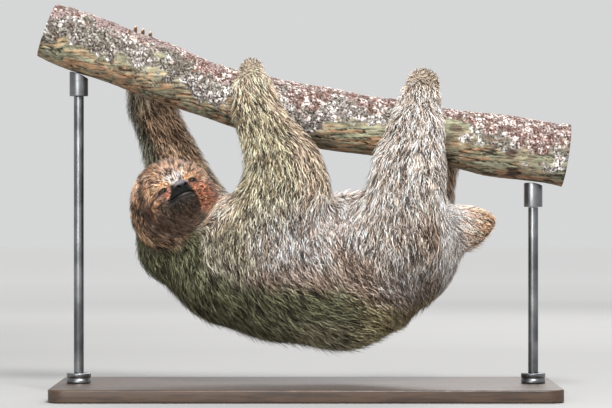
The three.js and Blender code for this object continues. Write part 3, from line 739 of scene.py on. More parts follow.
def surface_net(lines, values):
    """Where the zero surface crosses a grid edge, the edge's four neighbouring cells make one face. Each
    cell's corner of it is the mean of that cell's own crossings."""
    cells, crossings = [], []
    for axis in range(3):
        unit = np.eye(3, dtype=int)
        low = tuple(slice(0, -1) if k == axis else slice(1, -1) for k in range(3))
        high = tuple(slice(1, None) if k == axis else slice(1, -1) for k in range(3))
        index = np.argwhere((values[low] < 0) != (values[high] < 0)) + 1 - unit[axis]
        here, there = values[tuple(index.T)], values[tuple((index + unit[axis]).T)]
        place = np.stack([lines[k][index[:, k]] for k in range(3)], -1)
        gap = lines[axis][index[:, axis] + 1] - lines[axis][index[:, axis]]
        place[:, axis] += gap * here / (here - there)
        u, w = unit[(axis + 1) % 3], unit[(axis + 2) % 3]
        ring = np.stack([index, index - u, index - u - w, index - w], 1)
        ring = np.where((here < 0)[:, None, None], ring, ring[:, ::-1])
        cells.append(np.ravel_multi_index(np.moveaxis(ring, -1, 0), values.shape))
        crossings.append(place)
    cells, crossings = np.concatenate(cells), np.concatenate(crossings)
    _, corner = np.unique(cells.ravel(), return_inverse=True)
    count = np.bincount(corner)
    repeated = np.repeat(crossings, 4, axis=0)
    points = np.stack([np.bincount(corner, repeated[:, k]) / count for k in range(3)], -1)
    return points, corner.reshape(-1, 4)


def unpinched(values):
    """Where the inner corners of a grid face lie across its diagonal, two sheets would share an edge. The
    face's outer corner nearest to the surface is made inner, until no such face is left."""
    for _ in range(4):
        for axis in range(3):
            b, c = (axis + 1) % 3, (axis + 2) % 3
            inner = values < 0
            beside, above = np.roll(inner, -1, b), np.roll(inner, -1, c)
            across = np.roll(beside, -1, c)
            pinched = np.argwhere((inner == across) & (beside == above) & (inner != beside))
            step_b, step_c = np.eye(3, dtype=int)[[b, c]]
            corners = pinched[:, None] + [0 * step_b, step_b, step_c, step_b + step_c]
            found = values[tuple(np.moveaxis(corners, -1, 0))]
            nearest = np.where(found < 0, np.inf, found).argmin(1)
            values[tuple(corners[np.arange(len(pinched)), nearest].T)] = -0.001
    return values


# Along each axis: the grid's ends, and the stretch over the face where it is finest.
GRID_ENDS = ((-300, 292, -212, -146), (-118, 126, -98, -49), (48, 506, 258, 314))
skin_lines = [grid_line(*ends) for ends in GRID_ENDS]
grid = np.stack(np.meshgrid(*skin_lines, indexing="ij"), -1).reshape(-1, 3).astype(np.float32)
skin_values = in_batches(skin_field, grid).reshape([len(line) for line in skin_lines])
skin_points, skin_faces = surface_net(skin_lines, unpinched(skin_values))
skin_points = settle(skin_field, skin_points, 0.9)

# The animal's markings, as colours by place, with some painted light and shade among them. The coat takes
# the same ones.
FLANK_LIGHT = (0.66, 0.595, 0.555)
FLANK_BROWN = (0.27, 0.200, 0.150)
FLANK_ROSE = (0.90, 0.76, 0.69)
CHEST_BEIGE = (0.25, 0.23, 0.175)
SHOULDER_ROSE = (0.80, 0.61, 0.51)
BACK_OLIVE = (0.112, 0.112, 0.062)
BACK_PALE = (0.26, 0.24, 0.158)
RUMP_OLIVE = (0.43, 0.365, 0.205)
ARM_BEIGE = (0.40, 0.355, 0.245)
ARM_TAN = (0.44, 0.335, 0.25)
HAND_TAN = (0.55, 0.455, 0.345)
LEG_PALE = (0.68, 0.595, 0.53)
FOOT_BEIGE = (0.59, 0.475, 0.37)
INNER_BROWN = (0.165, 0.110, 0.070)
# The far limbs' insides are the near limbs' inner brown painted several times paler: painted light where
# the far side lies in shade.
FAR_ARM_LIT_BROWN = (0.36, 0.235, 0.150)
FAR_LEG_LIT_BROWN = (0.66, 0.42, 0.30)
ARM_SHADE = (0.090, 0.096, 0.064)
TAIL_WHITE = (0.90, 0.84, 0.80)
TAIL_TAN = (0.82, 0.46, 0.29)
NAPE_BROWN = (0.22, 0.17, 0.12)
CROWN_CREAM = (0.60, 0.425, 0.32)
CROWN_TAN = (0.34, 0.185, 0.100)
BRIDGE_WHITE = (0.90, 0.84, 0.79)
BROW_CREAM = (0.74, 0.45, 0.27)
LID_PINK = (0.34, 0.175, 0.135)
CHEEK_BROWN = (0.15, 0.078, 0.050)
CHEEK_RUST = (0.62, 0.26, 0.150)
STRIPE_DARK = (0.030, 0.020, 0.016)
THROAT_BROWN = (0.115, 0.076, 0.052)
CHIN_BROWN = (0.046, 0.035, 0.026)
RUFF_TAN = (0.52, 0.33, 0.205)
RUFF_SHADE = (0.075, 0.052, 0.036)
MUZZLE_BLACK = (0.007, 0.007, 0.007)
# The top of the nose pad and the lower lip are painted paler: painted highlights.
NOSE_TOP_HIGHLIGHT = (0.125, 0.110, 0.120)
NOSTRIL_BLACK = (0.003, 0.002, 0.002)
LIP_HIGHLIGHT = (0.20, 0.17, 0.155)
LID_RIM = (0.018, 0.012, 0.010)
# The skin is darker than the coat: partly its own tone under the hair, partly painted shade in the gaps
# between the locks.
SKIN_SHADE_SHARE = 0.42  # the skin is this much of the coat's tone
# Each limb's colours on its outside, its inside and its hand or foot.
LIMB_COLOURS = [
    ("arm_right", ARM_BEIGE, INNER_BROWN, HAND_TAN), ("arm_left", ARM_BEIGE, FAR_ARM_LIT_BROWN, HAND_TAN),
    ("leg_right", LEG_PALE, INNER_BROWN, FOOT_BEIGE), ("leg_left", LEG_PALE, FAR_LEG_LIT_BROWN, FOOT_BEIGE),
]
# The lower edge of the pale flank: height against place along the body.
SADDLE_EDGE = [(-200, 262), (-150, 250), (-143, 200), (-138, 174), (-112, 175), (-87, 157), (-53, 157),
               (-8, 150), (47, 150), (108, 134), (143, 136), (170, 142), (200, 152)]


def within(value, low, full_from, full_to, high):
    """1 from full_from to full_to, easing to 0 at low and at high."""
    return ease_between(value, low, full_from) * ease_between(value, high, full_to)


def head_markings(q):
    """The head's colours in its own axes: mottled cream crown, white over the nose, pale brows, pink lids,
    dark eye stripes and side band, rusty cheeks, brown throat, streaked ruff, a dark olive below the ruff
    that is partly painted shade, and black muzzle."""
    side, forward, upward = q.T
    wide = np.abs(side)
    rough = 6 * (fractal(q, 8, 507, 2) - 0.5)
    front = ease_between(forward, 8, 28)
    # The ruff: streaks that run round the throat.
    from_middle = np.hypot(side + 20, upward + 4)
    turned = np.arctan2(side + 20, upward + 4)
    streaks = fractal(np.stack([from_middle, 9 * turned, 0.2 * forward], -1), 3.4, 521, 2)
    under_chin = 0.85 * ease_between(side, -30, -14) * ease_between(upward, -30, -42)
    ruff = layered(RUFF_TAN, (RUFF_SHADE, np.maximum(ease_between(streaks, 0.60, 0.48), under_chin)))
    rim = ease_between(side, -50, -56) * ease_between(upward, 22, 6)
    rim = np.maximum(ease_between(upward + 0.25 * wide, -12, -30), rim)
    orange = bell(side, -40.5 + 0.12 * upward, 4.5) * within(upward, -22, -12, 22, 34)
    bridge = bell(side + 0.5 * rough, 2, 13) * within(upward, 7, 12, 22, 36)
    near_eye = np.hypot(wide - 22.5, 1.15 * (upward - 6.5)) + 0.5 * rough
    pink = bell(side, -19.5, 4.5) * bell(upward, -3, 6) * front
    rust = ease_between(side + rough, 15, 23) * within(upward, -44, -28, -2, 8)
    brown = ease_between(fractal(q, 4.5, 531, 2), 0.50, 0.60) + ease_between(side, 42, 52)
    band_side = np.interp(upward, (-58, -46, -30, -10, 15, 32), (-34, -46, -53, -53, -49, -43))
    band = bell(side + 0.4 * rough, band_side, 5.6) * within(upward, -60, -48, 22, 34)
    stripe = bell(upward, 4.5 - 0.42 * (wide - 27), 3.4) * within(wide, 26, 30, 42, 50)
    throat = np.hypot((side + 14) / 35, (upward + 32) / 25) + 0.02 * rough
    chin = ease_between(np.abs(side + 5) + rough, 24, 15) * within(upward, -36, -18, -12.5, -9)
    return layered(
        CROWN_CREAM,
        (CROWN_TAN, 0.8 * ease_between(fractal(q, 7, 501, 3), 0.44, 0.58)),
        (CROWN_TAN, 0.5 * ease_between(side, 26, 38) * ease_between(upward, 8, 18)),
        (CROWN_TAN, 0.3 * ease_between(upward + rough, 34, 50)),
        (NAPE_BROWN, ease_between(forward, 6, -22)),
        (CHEEK_BROWN, 0.9 * ease_between(upward + rough, 5, -5) * front),
        (ruff, rim),
        (BROW_CREAM, 0.75 * orange),
        (BRIDGE_WHITE, bridge),
        (BROW_CREAM, ease_between(near_eye, 19, 12) * ease_between(upward, 6, 12) * front),
        (LID_PINK, ease_between(near_eye, 13, 8) * ease_between(upward, 11, 7.5) * front),
        (CHEEK_RUST, 0.8 * pink),
        (CHEEK_RUST, rust),
        (CHEEK_BROWN, 0.55 * rust * np.minimum(brown, 1)),
        (STRIPE_DARK, 0.85 * band),
        (STRIPE_DARK, stripe * np.where(side < 0, 0.85, 0.5)),
        (THROAT_BROWN, ease_between(throat, 1.04, 0.90) * ease_between(forward, -6, 8)),
        (CHIN_BROWN, chin * ease_between(forward, 30, 40)),
        (BRIDGE_WHITE, 0.45 * bell(side, -22.5, 1.1) * bell(upward, -8, 3) * front),
        # Below the ruff, the chest's dark olive, partly painted shade under the head.
        (BACK_OLIVE, ease_between(from_middle, 61, 66) * ease_between(upward, -24, -36)),
        (MUZZLE_BLACK, muzzle_bare(q)),
    )


def muzzle_bare(q):
    """1 on the bare dark muzzle: as wide as the nose at the top, out to the mouth's corners below."""
    side, forward, upward = q.T
    drop = np.clip(9 - upward, 0, 20)
    edge = 8.8 + 0.28 * drop + 0.016 * drop**2 + 3.5 * (fractal(q, 4, 511, 2) - 0.5)
    lip = ease_between(upward, mouth_line(side) - 5.5, mouth_line(side) - 2.2)
    across = ease_between(np.abs(side + 0.8), edge + 1.6, edge - 1.2)
    return across * ease_between(upward, 10.5, 8.5) * lip * ease_between(forward, 39, 43)


def muzzle_tones(q):
    """The bare muzzle's tones: a painted highlight on the top of the nose, black nostrils, and a painted
    highlight along the lower lip.
    """
    side, forward, upward = q.T
    pad = ease_between(np.hypot(side / 11.5, (upward - 2) / 8), 1.08, 0.85) * ease_between(forward, 54, 58)
    hole = np.hypot((np.abs(side) - NOSTRIL["sideways"]) / 3.7, (upward - NOSTRIL["upward"]) / 3.2)
    lip = bell(upward, mouth_line(side) - 2.0, 0.7) * bell(side, 1, 7) * ease_between(forward, 48, 54)
    # The nose pad's top and the lower lip carry painted highlights.
    return layered(
        MUZZLE_BLACK, (NOSE_TOP_HIGHLIGHT, pad * ease_between(upward, -1.5, 5)),
        (NOSTRIL_BLACK, ease_between(hole, 1.15, 0.85) * pad), (LIP_HIGHLIGHT, 0.45 * lip),
    )


def link_frame(points, chain):
    """Where points lie on a chain: distance to the coat's tips, way along it, and the chain's direction."""
    links = np.array(chain["links"])
    reach = np.diff(links[:, :3], axis=0)
    length = np.linalg.norm(reach, axis=1)
    start = np.concatenate([[0], np.cumsum(length)])
    distances, ways, offs = [], [], []
    for i in range(len(reach)):
        off = points - links[i, :3]
        t = np.clip(off @ (reach[i] / length[i] ** 2), 0, 1)
        off = off - t[:, None] * reach[i]
        thick = links[i, 3] + t * (links[i + 1, 3] - links[i, 3])
        distances.append(np.linalg.norm(off * [1, chain["flat"], 1], axis=-1) - thick)
        ways.append(start[i] + t * length[i])
        offs.append(off)
    distances = np.stack(distances)
    share = np.exp(-(distances - distances.min(0)) / 7)
    share /= share.sum(0)
    direction = np.einsum("ln,lk->nk", share, reach / length[:, None])
    way = (share * np.stack(ways)).sum(0)
    off = np.einsum("ln,lnk->nk", share, np.stack(offs))
    return {"distance": distances.min(0), "way": way / start[-1], "direction": direction, "off": off}


def body_markings(points, frames):
    """The body's colours by place, from the white flank down to the olive back and out along the limbs."""
    x, y, z = points.T
    ragged = 22 * (fractal(points, 26, 201, 2) - 0.5)
    streaked = 22 * (fractal(points * [1, 1, 0.4], 7, 205, 2) - 0.5)
    edge = np.interp(x, *np.array(SADDLE_EDGE).T) + ragged
    olive = layered(
        BACK_OLIVE, (BACK_PALE, 0.9 * bell(x + ragged, 30, 62) * ease_between(z, 118, 92)),
        (RUMP_OLIVE, ease_between(x + ragged, 50, 120)),
    )
    colour = layered(
        FLANK_BROWN,
        (FLANK_LIGHT, ease_between(z + 1.6 * ragged, 152, 212)),
        (FLANK_ROSE, 0.7 * bell(x, 70, 26) * ease_between(z, 262, 282)),
        (CHEST_BEIGE, ease_between(x + ragged, -62, -96)),
        (olive, ease_between(z, edge + 12, edge - 14)),
    )
    distances = {name: frame["distance"] for name, frame in frames.items()}
    trunk = np.minimum(distances["trunk"], distances["belly"])
    for name, outer, inner, end in LIMB_COLOURS:
        limb = frames[name]
        leftward = limb["off"][:, 0]
        side = NEAR if name.endswith("right") else FAR
        reach = 14 if name == "leg_left" else 4
        inside = ease_between(limb["off"][:, 1] * side, reach, reach - 14)
        inside *= ease_between(limb["way"], 0.78, 0.62)
        layers = [(inner, 0.9 * inside), (end, ease_between(limb["way"], 0.60, 0.80))]
        if name == "arm_left":
            # The far arm's left edge is darkened: partly its own blackish outer hair, partly painted shade.
            layers.insert(0, (ARM_SHADE, 0.8 * ease_between(leftward, -8, -24)))
            layers.insert(2, (ARM_SHADE, 0.9 * ease_between(leftward, -12, -22)))
        if name == "arm_right":
            layers.insert(0, (ARM_TAN, 0.8 * ease_between(leftward + 0.6 * ragged, 8, 26)))
        others = np.min([trunk, *(distances[other] for other in LIMBS if other != name)], axis=0)
        share = ease_between(limb["distance"] - others, 10, -16) * ease_between(z, edge - 4, edge + 10)
        if name == "arm_right":
            ends = ease_between(z + 2 * ragged, 300, 220)
            ends *= ease_between(x + 2 * ragged + 3 * streaked, -112, 12)
            share *= (1 - ends) * (1 - 0.5 * ease_between(z + ragged, 275, 215))
        colour = layered(colour, (layered(outer, *layers), share))
    sweep = bell(z - 213 + 0.75 * (x - 31) + streaked, 0, 26) * within(x, 14, 46, 120, 175)
    tail = layered(TAIL_WHITE, (TAIL_TAN, 0.9 * ease_between(x + ragged, 198, 252)))
    return layered(
        colour,
        (FLANK_BROWN, 0.9 * bell(x + ragged, 168, 34) * bell(z, 222, 46)),
        (CHEST_BEIGE, 0.4 * bell(x + ragged, -58, 44) * bell(z, 252, 30) * (y < 0)),
        (FLANK_BROWN, 0.92 * sweep),
        (FLANK_ROSE, bell(x, 36, 24) * bell(z, 232, 24) * (y < 0)),
        (FLANK_LIGHT, 0.6 * bell(x + ragged, 134, 40) * bell(z + streaked, 153, 21)),
        (SHOULDER_ROSE, 0.95 * bell(x, -124, 22) * bell(z, 268, 24) * (y < 30)),
        (tail, ease_between(x + 0.4 * ragged, 178, 196) * ease_between(z, 280, 264)),
    )


def all_frames(points):
    """Where points lie on each chain of the body."""
    chains = {"trunk": TRUNK, "belly": BELLY, "tail": TAIL, "neck": NECK, **LIMBS}
    return {name: link_frame(points, chain) for name, chain in chains.items()}


def markings(points):
    """The whole animal's colours by place."""
    frames = all_frames(points)
    q = in_head(points)
    nearest_body = np.min([f["distance"] for f in frames.values()], axis=0)
    head = head_field(q, 1.0)
    share = ease_between(head - nearest_body, 5, -3) * ease_between(np.linalg.norm(q, axis=-1), 84, 76)
    return layered(body_markings(points, frames), (head_markings(q), share))


# The skin takes the markings darkened, partly as painted shade between the locks.
skin_colours = markings(skin_points) * SKIN_SHADE_SHARE
q = in_head(skin_points)
on_head = ease_between(np.linalg.norm(q, axis=-1), 84, 76)
out, ahead, over = eye_plane(q)
lid_edge = ease_between(np.hypot(out / SLIT[0], over / SLIT[1]), 1.85, 1.25)
lid_edge *= ease_between(ahead, -2, 1) * on_head
bare = muzzle_bare(q) * on_head
skin_colours = layered(skin_colours, (LID_RIM, lid_edge), (muzzle_tones(q), bare))
skin = make_piece("skin", skin_points, skin_faces)
paint(skin.data, "MarkingsAndPaintedLight", skin_colours, np.maximum(bare, lid_edge))

skin_finish, tree, shader = new_finish("Sloth skin", {"Specular IOR Level": 0.16})
place = object_place(tree)
painted = wire(tree, "VertexColor", {}, layer_name="MarkingsAndPaintedLight")
tint_by(tree, shader, painted, spread(tree, noise(tree, place, 260.0, 4.0, 0.6), 0.7, 1.3))
sockets = {"Value": painted.outputs["Alpha"], "To Min": 0.85, "To Max": 0.55}
tree.links.new(wire(tree, "MapRange", sockets).outputs["Result"], shader.inputs["Roughness"])
pebbles = wire(tree, "TexVoronoi", {"Vector": place, "Scale": 1100.0}).outputs["Distance"]
add_bump(tree, shader, pebbles, 0.35, 0.0004)
skin.data.materials.append(skin_finish)
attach(skin, "root")
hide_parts("tail", "rump", "belly", "chest", "neck", "muzzle", "head",
            "upper_arm_right", "forearm_right", "hand_right", "upper_arm_left", "forearm_left", "hand_left",
            "thigh_right", "shin_right", "foot_right", "thigh_left", "shin_left", "foot_left")

# ---- the eyes ----------------------------------------------------------------------------------------
# Two glass eyes, nearly black, with a dark brown iris round the pupil. Each sits behind the lids, facing
# the way the head faces.
PUPIL_TURN, IRIS_TURN = 0.42, 0.95  # how far round the ball from its front each one reaches, in radians
PUPIL_BLACK = (0.004, 0.003, 0.003)
IRIS_BROWN = (0.050, 0.022, 0.010)
EYE_WHITE = (0.045, 0.028, 0.022)
EYE_RINGS, EYE_SIDES = 40, 56
IRIS_BULGE = 0.25

eye_finish, tree, shader = new_finish("Glass eye", {"Roughness": 0.12, "Specular IOR Level": 0.16})
painted = wire(tree, "VertexColor", {}, layer_name="Iris")
tint_by(tree, shader, painted, spread(tree, noise(tree, object_place(tree), 2400.0, 3.0), 0.6, 1.5))

for name, side in (("right", -1), ("left", 1)):
    # A ball turned about the facing axis, from its back to its front, with a low bulge over the iris.
    polar = np.linspace(np.pi - 0.05, 0.05, EYE_RINGS)[:, None]
    turn = full_turn(EYE_SIDES)[None, :]
    size = EYE["radius"] + IRIS_BULGE * ease_between(polar, IRIS_TURN, 0.2)
    out, up = size * np.sin(polar) * np.cos(turn), size * np.sin(polar) * np.sin(turn)
    local = np.stack([out, size * np.cos(polar) + 0 * turn, up], -1)
    local = local[:, ::-1] + [side * EYE["sideways"], EYE["forward"], EYE["upward"]]
    eye = make_piece(f"eyeball_{name}", *closed_tube(HEAD_CENTRE + local @ HEAD_AXES))
    angle = np.repeat(polar.ravel(), EYE_SIDES)
    colour = layered(
        EYE_WHITE, (IRIS_BROWN, ease_between(angle, IRIS_TURN + 0.06, IRIS_TURN)),
        (PUPIL_BLACK, ease_between(angle, PUPIL_TURN + 0.08, PUPIL_TURN)),
    )
    paint(eye.data, "Iris", np.concatenate([colour, [EYE_WHITE], [PUPIL_BLACK]]))
    eye.data.materials.append(eye_finish)
    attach(eye, "root")
    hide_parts(f"eye_{name}")

# ---- the claws -----------------------------------------------------------------------------------------
# Three long hooked claws on each hand and foot, of amber horn, paler towards the root and worn to a blunt
# point. Each curls from the fingers over the branch and lies on the bark.
HAND_CLAW = {"length": 64, "root": 4.6, "tip": 0.7, "spread": 10.5}
HIND_CLAW = {"length": 56, "root": 4.3, "tip": 0.7, "spread": 10}
# Each one's claws, their middle's place along the branch, the angle round it and the distance from its axis
# where they start, the side they come from, and how far they turn along it.
HANDS = {
    "hand_right": (HAND_CLAW, -88, 80, 46, NEAR, 0), "hand_left": (HAND_CLAW, -245, 26, 51, FAR, 0),
    "foot_right": (HIND_CLAW, 164, 103, 64, NEAR, 10), "foot_left": (HIND_CLAW, 141, 56, 50, FAR, 0),
}
CLAW_RINGS, CLAW_SIDES = 34, 18
CLAW_CLEARANCE = 2.6  # from the bark's outline to the claw
HORN_AMBER = (0.36, 0.20, 0.085)
HORN_PALE = (0.58, 0.43, 0.27)


def unit(vectors):
    """Vectors brought to a length of 1."""
    return vectors / np.maximum(np.linalg.norm(vectors, axis=-1), 1e-9)[..., None]


waxy = {"Specular IOR Level": 0.5, "Subsurface Weight": 0.12, "Subsurface Scale": 0.003}
horn, tree, shader = new_finish("Amber horn", waxy)
painted = wire(tree, "VertexColor", {}, layer_name="Horn")
streaks = noise(tree, object_place(tree, (1.0, 0.12, 0.12)), 900.0, 4.0)
tint_by(tree, shader, painted, spread(tree, streaks, 0.7, 1.25))
roughen(tree, shader, streaks, 0.3, 0.5)
add_bump(tree, shader, streaks, 0.2, 0.0003)

for hand, (size, x, start_angle, start, side, turned_by) in HANDS.items():
    for index, finger in enumerate(("inner", "middle", "outer")):
        t = np.linspace(-0.05, 1, CLAW_RINGS)
        tc = np.clip(t, 0, 1)
        thick = size["root"] + (size["tip"] - size["root"]) * tc**1.4
        rest = branch_radius(np.array(float(x))) + CLAW_CLEARANCE + thick
        distance = rest + np.maximum(start - rest, 0) * (1 - tc) ** 1.6
        sweep = np.degrees(size["length"] / (0.5 * (rest + np.maximum(start, rest))))
        place_x = x + (index - 1) * size["spread"] + turned_by * t
        path = round_branch(place_x, start_angle + sweep * t, distance, side)
        way = unit(np.gradient(path, axis=0))
        wide = unit(np.cross([1.0, 0, 0], way))
        other = np.cross(way, wide)
        angle = full_turn(CLAW_SIDES)[:, None]
        # The section is a little flattened, and the last of the claw is rounded off.
        section = wide[:, None] * np.cos(angle) + other[:, None] * (0.92 * np.sin(angle))
        section *= 1 + 0.05 * np.cos(2 * angle)
        thick = thick * np.maximum(np.sqrt(np.clip((1.0 - t) / 0.03, 0.0, 1.0)), 0.25)
        rings = path[:, None] + thick[:, None, None] * section
        claw = make_piece(f"claw_{hand}_{finger}_horn", *closed_tube(rings))
        colour = layered(HORN_PALE, (HORN_AMBER, ease_between(t, 0.1, 0.75)))
        around = np.repeat(colour, CLAW_SIDES, axis=0)
        paint(claw.data, "Horn", np.concatenate([around, colour[:1], colour[-1:]]))
        claw.data.materials.append(horn)
        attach(claw, "root")
        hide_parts(f"claw_{hand}_{finger}")

# ---- the coat ------------------------------------------------------------------------------------------
# Long coarse hair in thin locks, each a closed three-sided taper rooted in the skin. It lies as on a
# hanging sloth: from the claws down each limb, from the belly round to the back, and back from the nose
# over the head. Locks near each other draw together at their tips.
rng = np.random.default_rng(7)
# The least depth of coat that a lock is made for, and how many times as long as that depth it is.
BODY_LOCKS, HEAD_LOCKS = (1.2, 2.25), (2.2, 1.9)
RISE = {2: (0.6, 1.0), 3: (0.5, 0.86, 1.0)}  # how far through the coat a lock is at the end of each step
LOCK_TAPER = {2: (1.0, 0.85), 3: (0.9, 1.0, 0.7)}
CLUMP_SIZE = 5.5
# Most locks take the tone of a patch of roots this wide, so that streaks show.
STREAK_SIZE, STREAK_SIZES = 2.3, {"face": 1.7, "head": 2.1}
# A lock's width is a base and a share of its length, and no less or more than LOCK_WIDTHS.
WIDTH_BASE, WIDTH_FOR_LENGTH = 0.44, 0.022
LOCK_WIDTHS = (0.5, 1.2)
FACE_LOCK_WIDTH = 0.74  # the least on the face
BAKE_PATCH, BAKE_MARGIN = 0.003, 0.004
BELLY_FROM, RUMP_FROM = -38, 96  # along the body
FACE_FROM = 17  # forward of the head's middle
ROOT_DEPTH = 0.8
BARK_GAP = 1.0  # what hair keeps from the bark
BARE_LIDS = (6.8, 3.9)  # half the width and half the height of the bare patch round an eye
# Each coat piece: name, how many locks, steps in each, how far its hair sways, and its finish slot.
COAT_PIECES = [
    ("face", 17000, 2, 0.7, "face_coat"), ("head", 9800, 3, 0.5, "face_coat"),
    ("chest", 11400, 3, 1.2, "coat"), ("belly", 11600, 3, 1.1, "coat"), ("rump", 10400, 3, 1.1, "coat"),
    ("tail", 3800, 3, 0.7, "coat"),
    ("arm_right", 12000, 3, 0.6, "coat"), ("arm_left", 6600, 3, 0.6, "coat"),
    ("leg_right", 11800, 3, 0.75, "coat"), ("leg_left", 6000, 3, 0.75, "coat"),
]
# The dark, middling and pale hairs: the share of each, and what each multiplies its marking by.
COAT_HAIRS = ((0.36, 0.27, 0.37), ((0.13, 0.11, 0.10), (0.84, 0.76, 0.68), (1.94, 1.97, 2.04)))
HEAD_HAIRS = ((0.39, 0.24, 0.37), ((0.09, 0.06, 0.05), (0.84, 0.68, 0.56), (1.58, 1.62, 1.66)))
# How fast hair runs along the body for each unit it runs down, high on the flank and low on it.
ALONG_AT = (-200, -120, -60, 0, 60, 115, 160, 200)
ALONG_HIGH = (-0.2, 0.2, 0.5, 0.5, 0.35, 0.0, -0.1, 0.1)
ALONG_LOW = (0.35, 0.5, 0.9, 1.7, 1.5, 1.0, 0.5, -0.1)
NOSE = np.array([0, 60, 2])
SWIRL_FROM = np.radians(215)  # the ruff sweeps round the lower right cheek about this direction


def trunk_lie(points):
    """Down from the belly to the back, and along towards the rump by a share that depends on the place."""
    x, _, z = points.T
    links = np.array(TRUNK["links"])
    relative = (z - np.interp(x, links[:, 0], links[:, 2])) / np.interp(x, links[:, 0], links[:, 3])
    low = ease_between(relative, 0.5, -0.5)
    along = np.interp(x, ALONG_AT, ALONG_HIGH) * (1 - low) + np.interp(x, ALONG_AT, ALONG_LOW) * low
    return unit(np.stack([along, 0 * x, -np.ones_like(x)], -1))


def head_lie(points):
    """Away from the nose, turning into a sweep round the lower cheek and under the chin."""
    from_nose = in_head(points) - NOSE
    radial = unit(from_nose)
    side, _, upward = from_nose.T
    across = np.maximum(np.hypot(side, upward), 1e-6)
    swirl = np.stack([-upward / across, 0 * side, side / across], -1)
    share = ease_between(np.cos(np.arctan2(upward, side) - SWIRL_FROM), -0.35, 0.35)
    share *= ease_between(across, 24, 44)
    return unit(radial * (1 - 0.95 * share)[:, None] + 1.2 * swirl * share[:, None]) @ HEAD_AXES


def lie_of_coat(points):
    """The way the hair lies: that of each part, weighed by how near the part is."""
    frames = all_frames(points)
    along_tail = np.tile(unit(np.array([0.85, 0.0, -0.5])), (len(points), 1))
    down_neck = np.tile(unit(np.array([0.1, 0.0, -1.0])), (len(points), 1))
    down_trunk = trunk_lie(points)
    ways = [
        (frames["trunk"]["distance"], down_trunk), (frames["tail"]["distance"], along_tail),
        (frames["neck"]["distance"] + 2, down_neck), (frames["belly"]["distance"], down_trunk),
    ]
    for limb in LIMBS:
        found = frames[limb]
        # Down at the shoulder and hip, where the limb's own hair gives way to the trunk's.
        falling = 0.8 * ease_between(found["way"], 0.5, 0.1)[:, None]
        outward_hair = falling * [0.1, 0.0, -1.0] - (1 - falling) * unit(found["direction"])
        ways.append((found["distance"], unit(outward_hair)))
    # On the front of the head its own sweep holds right to the ruff's edge.
    q = in_head(points)
    ways.append((head_field(q, 1.0) - 1 - 12 * ease_between(q[:, 1], -20, -2), head_lie(points)))
    distances = np.stack([d for d, _ in ways])
    share = np.exp(-(distances - distances.min(0)) / 9)
    return unit(np.einsum("pn,pnk->nk", share, np.stack([way for _, way in ways])))


def region_of(points):
    """Which coat piece each point of the skin belongs to."""
    names = ["trunk", "trunk", "tail", "neck", *LIMBS, "head"]
    q = in_head(points)
    distances = [frame["distance"] for frame in all_frames(points).values()] + [head_field(q, 1.0) - 1]
    nearest = np.array(names, dtype=object)[np.argmin(distances, axis=0)]
    nearest[(nearest == "trunk") & (points[:, 0] > RUMP_FROM)] = "rump"
    nearest[(nearest == "trunk") & (points[:, 0] > BELLY_FROM)] = "belly"
    nearest[(nearest == "trunk") | (nearest == "neck")] = "chest"
    nearest[(nearest == "head") & (q[:, 1] > FACE_FROM)] = "face"
    return nearest


def bake_map(points, region):
    """A place from 0 to 1 each way on the skin unrolled: round the part and along it, or round the head and
    up it."""
    if region in ("face", "head"):
        q = in_head(points)
        flat = np.stack([np.arctan2(q[:, 0], q[:, 1]), np.arcsin(np.clip(unit(q)[:, 2], -1, 1))], -1)
    else:
        chain = LIMBS.get(region, TAIL if region == "tail" else TRUNK)
        found = link_frame(points, chain)
        over = np.cross(unit(found["direction"]), [0.0, 1.0, 0.0])
        flat = np.stack([np.arctan2(found["off"][:, 1], (found["off"] * over).sum(-1)), found["way"]], -1)
    low, high = flat.min(0), flat.max(0)
    return BAKE_MARGIN + (1 - 2 * BAKE_MARGIN) * (flat - low) / (high - low)


def strewn(areas, count):
    """Faces picked by area, evenly spaced through the mesh with a little chance."""
    total = np.cumsum(areas)
    picks = (np.arange(count) + rng.random(count)) / count * total[-1]
    return np.minimum(np.searchsorted(total, picks), len(areas) - 1)


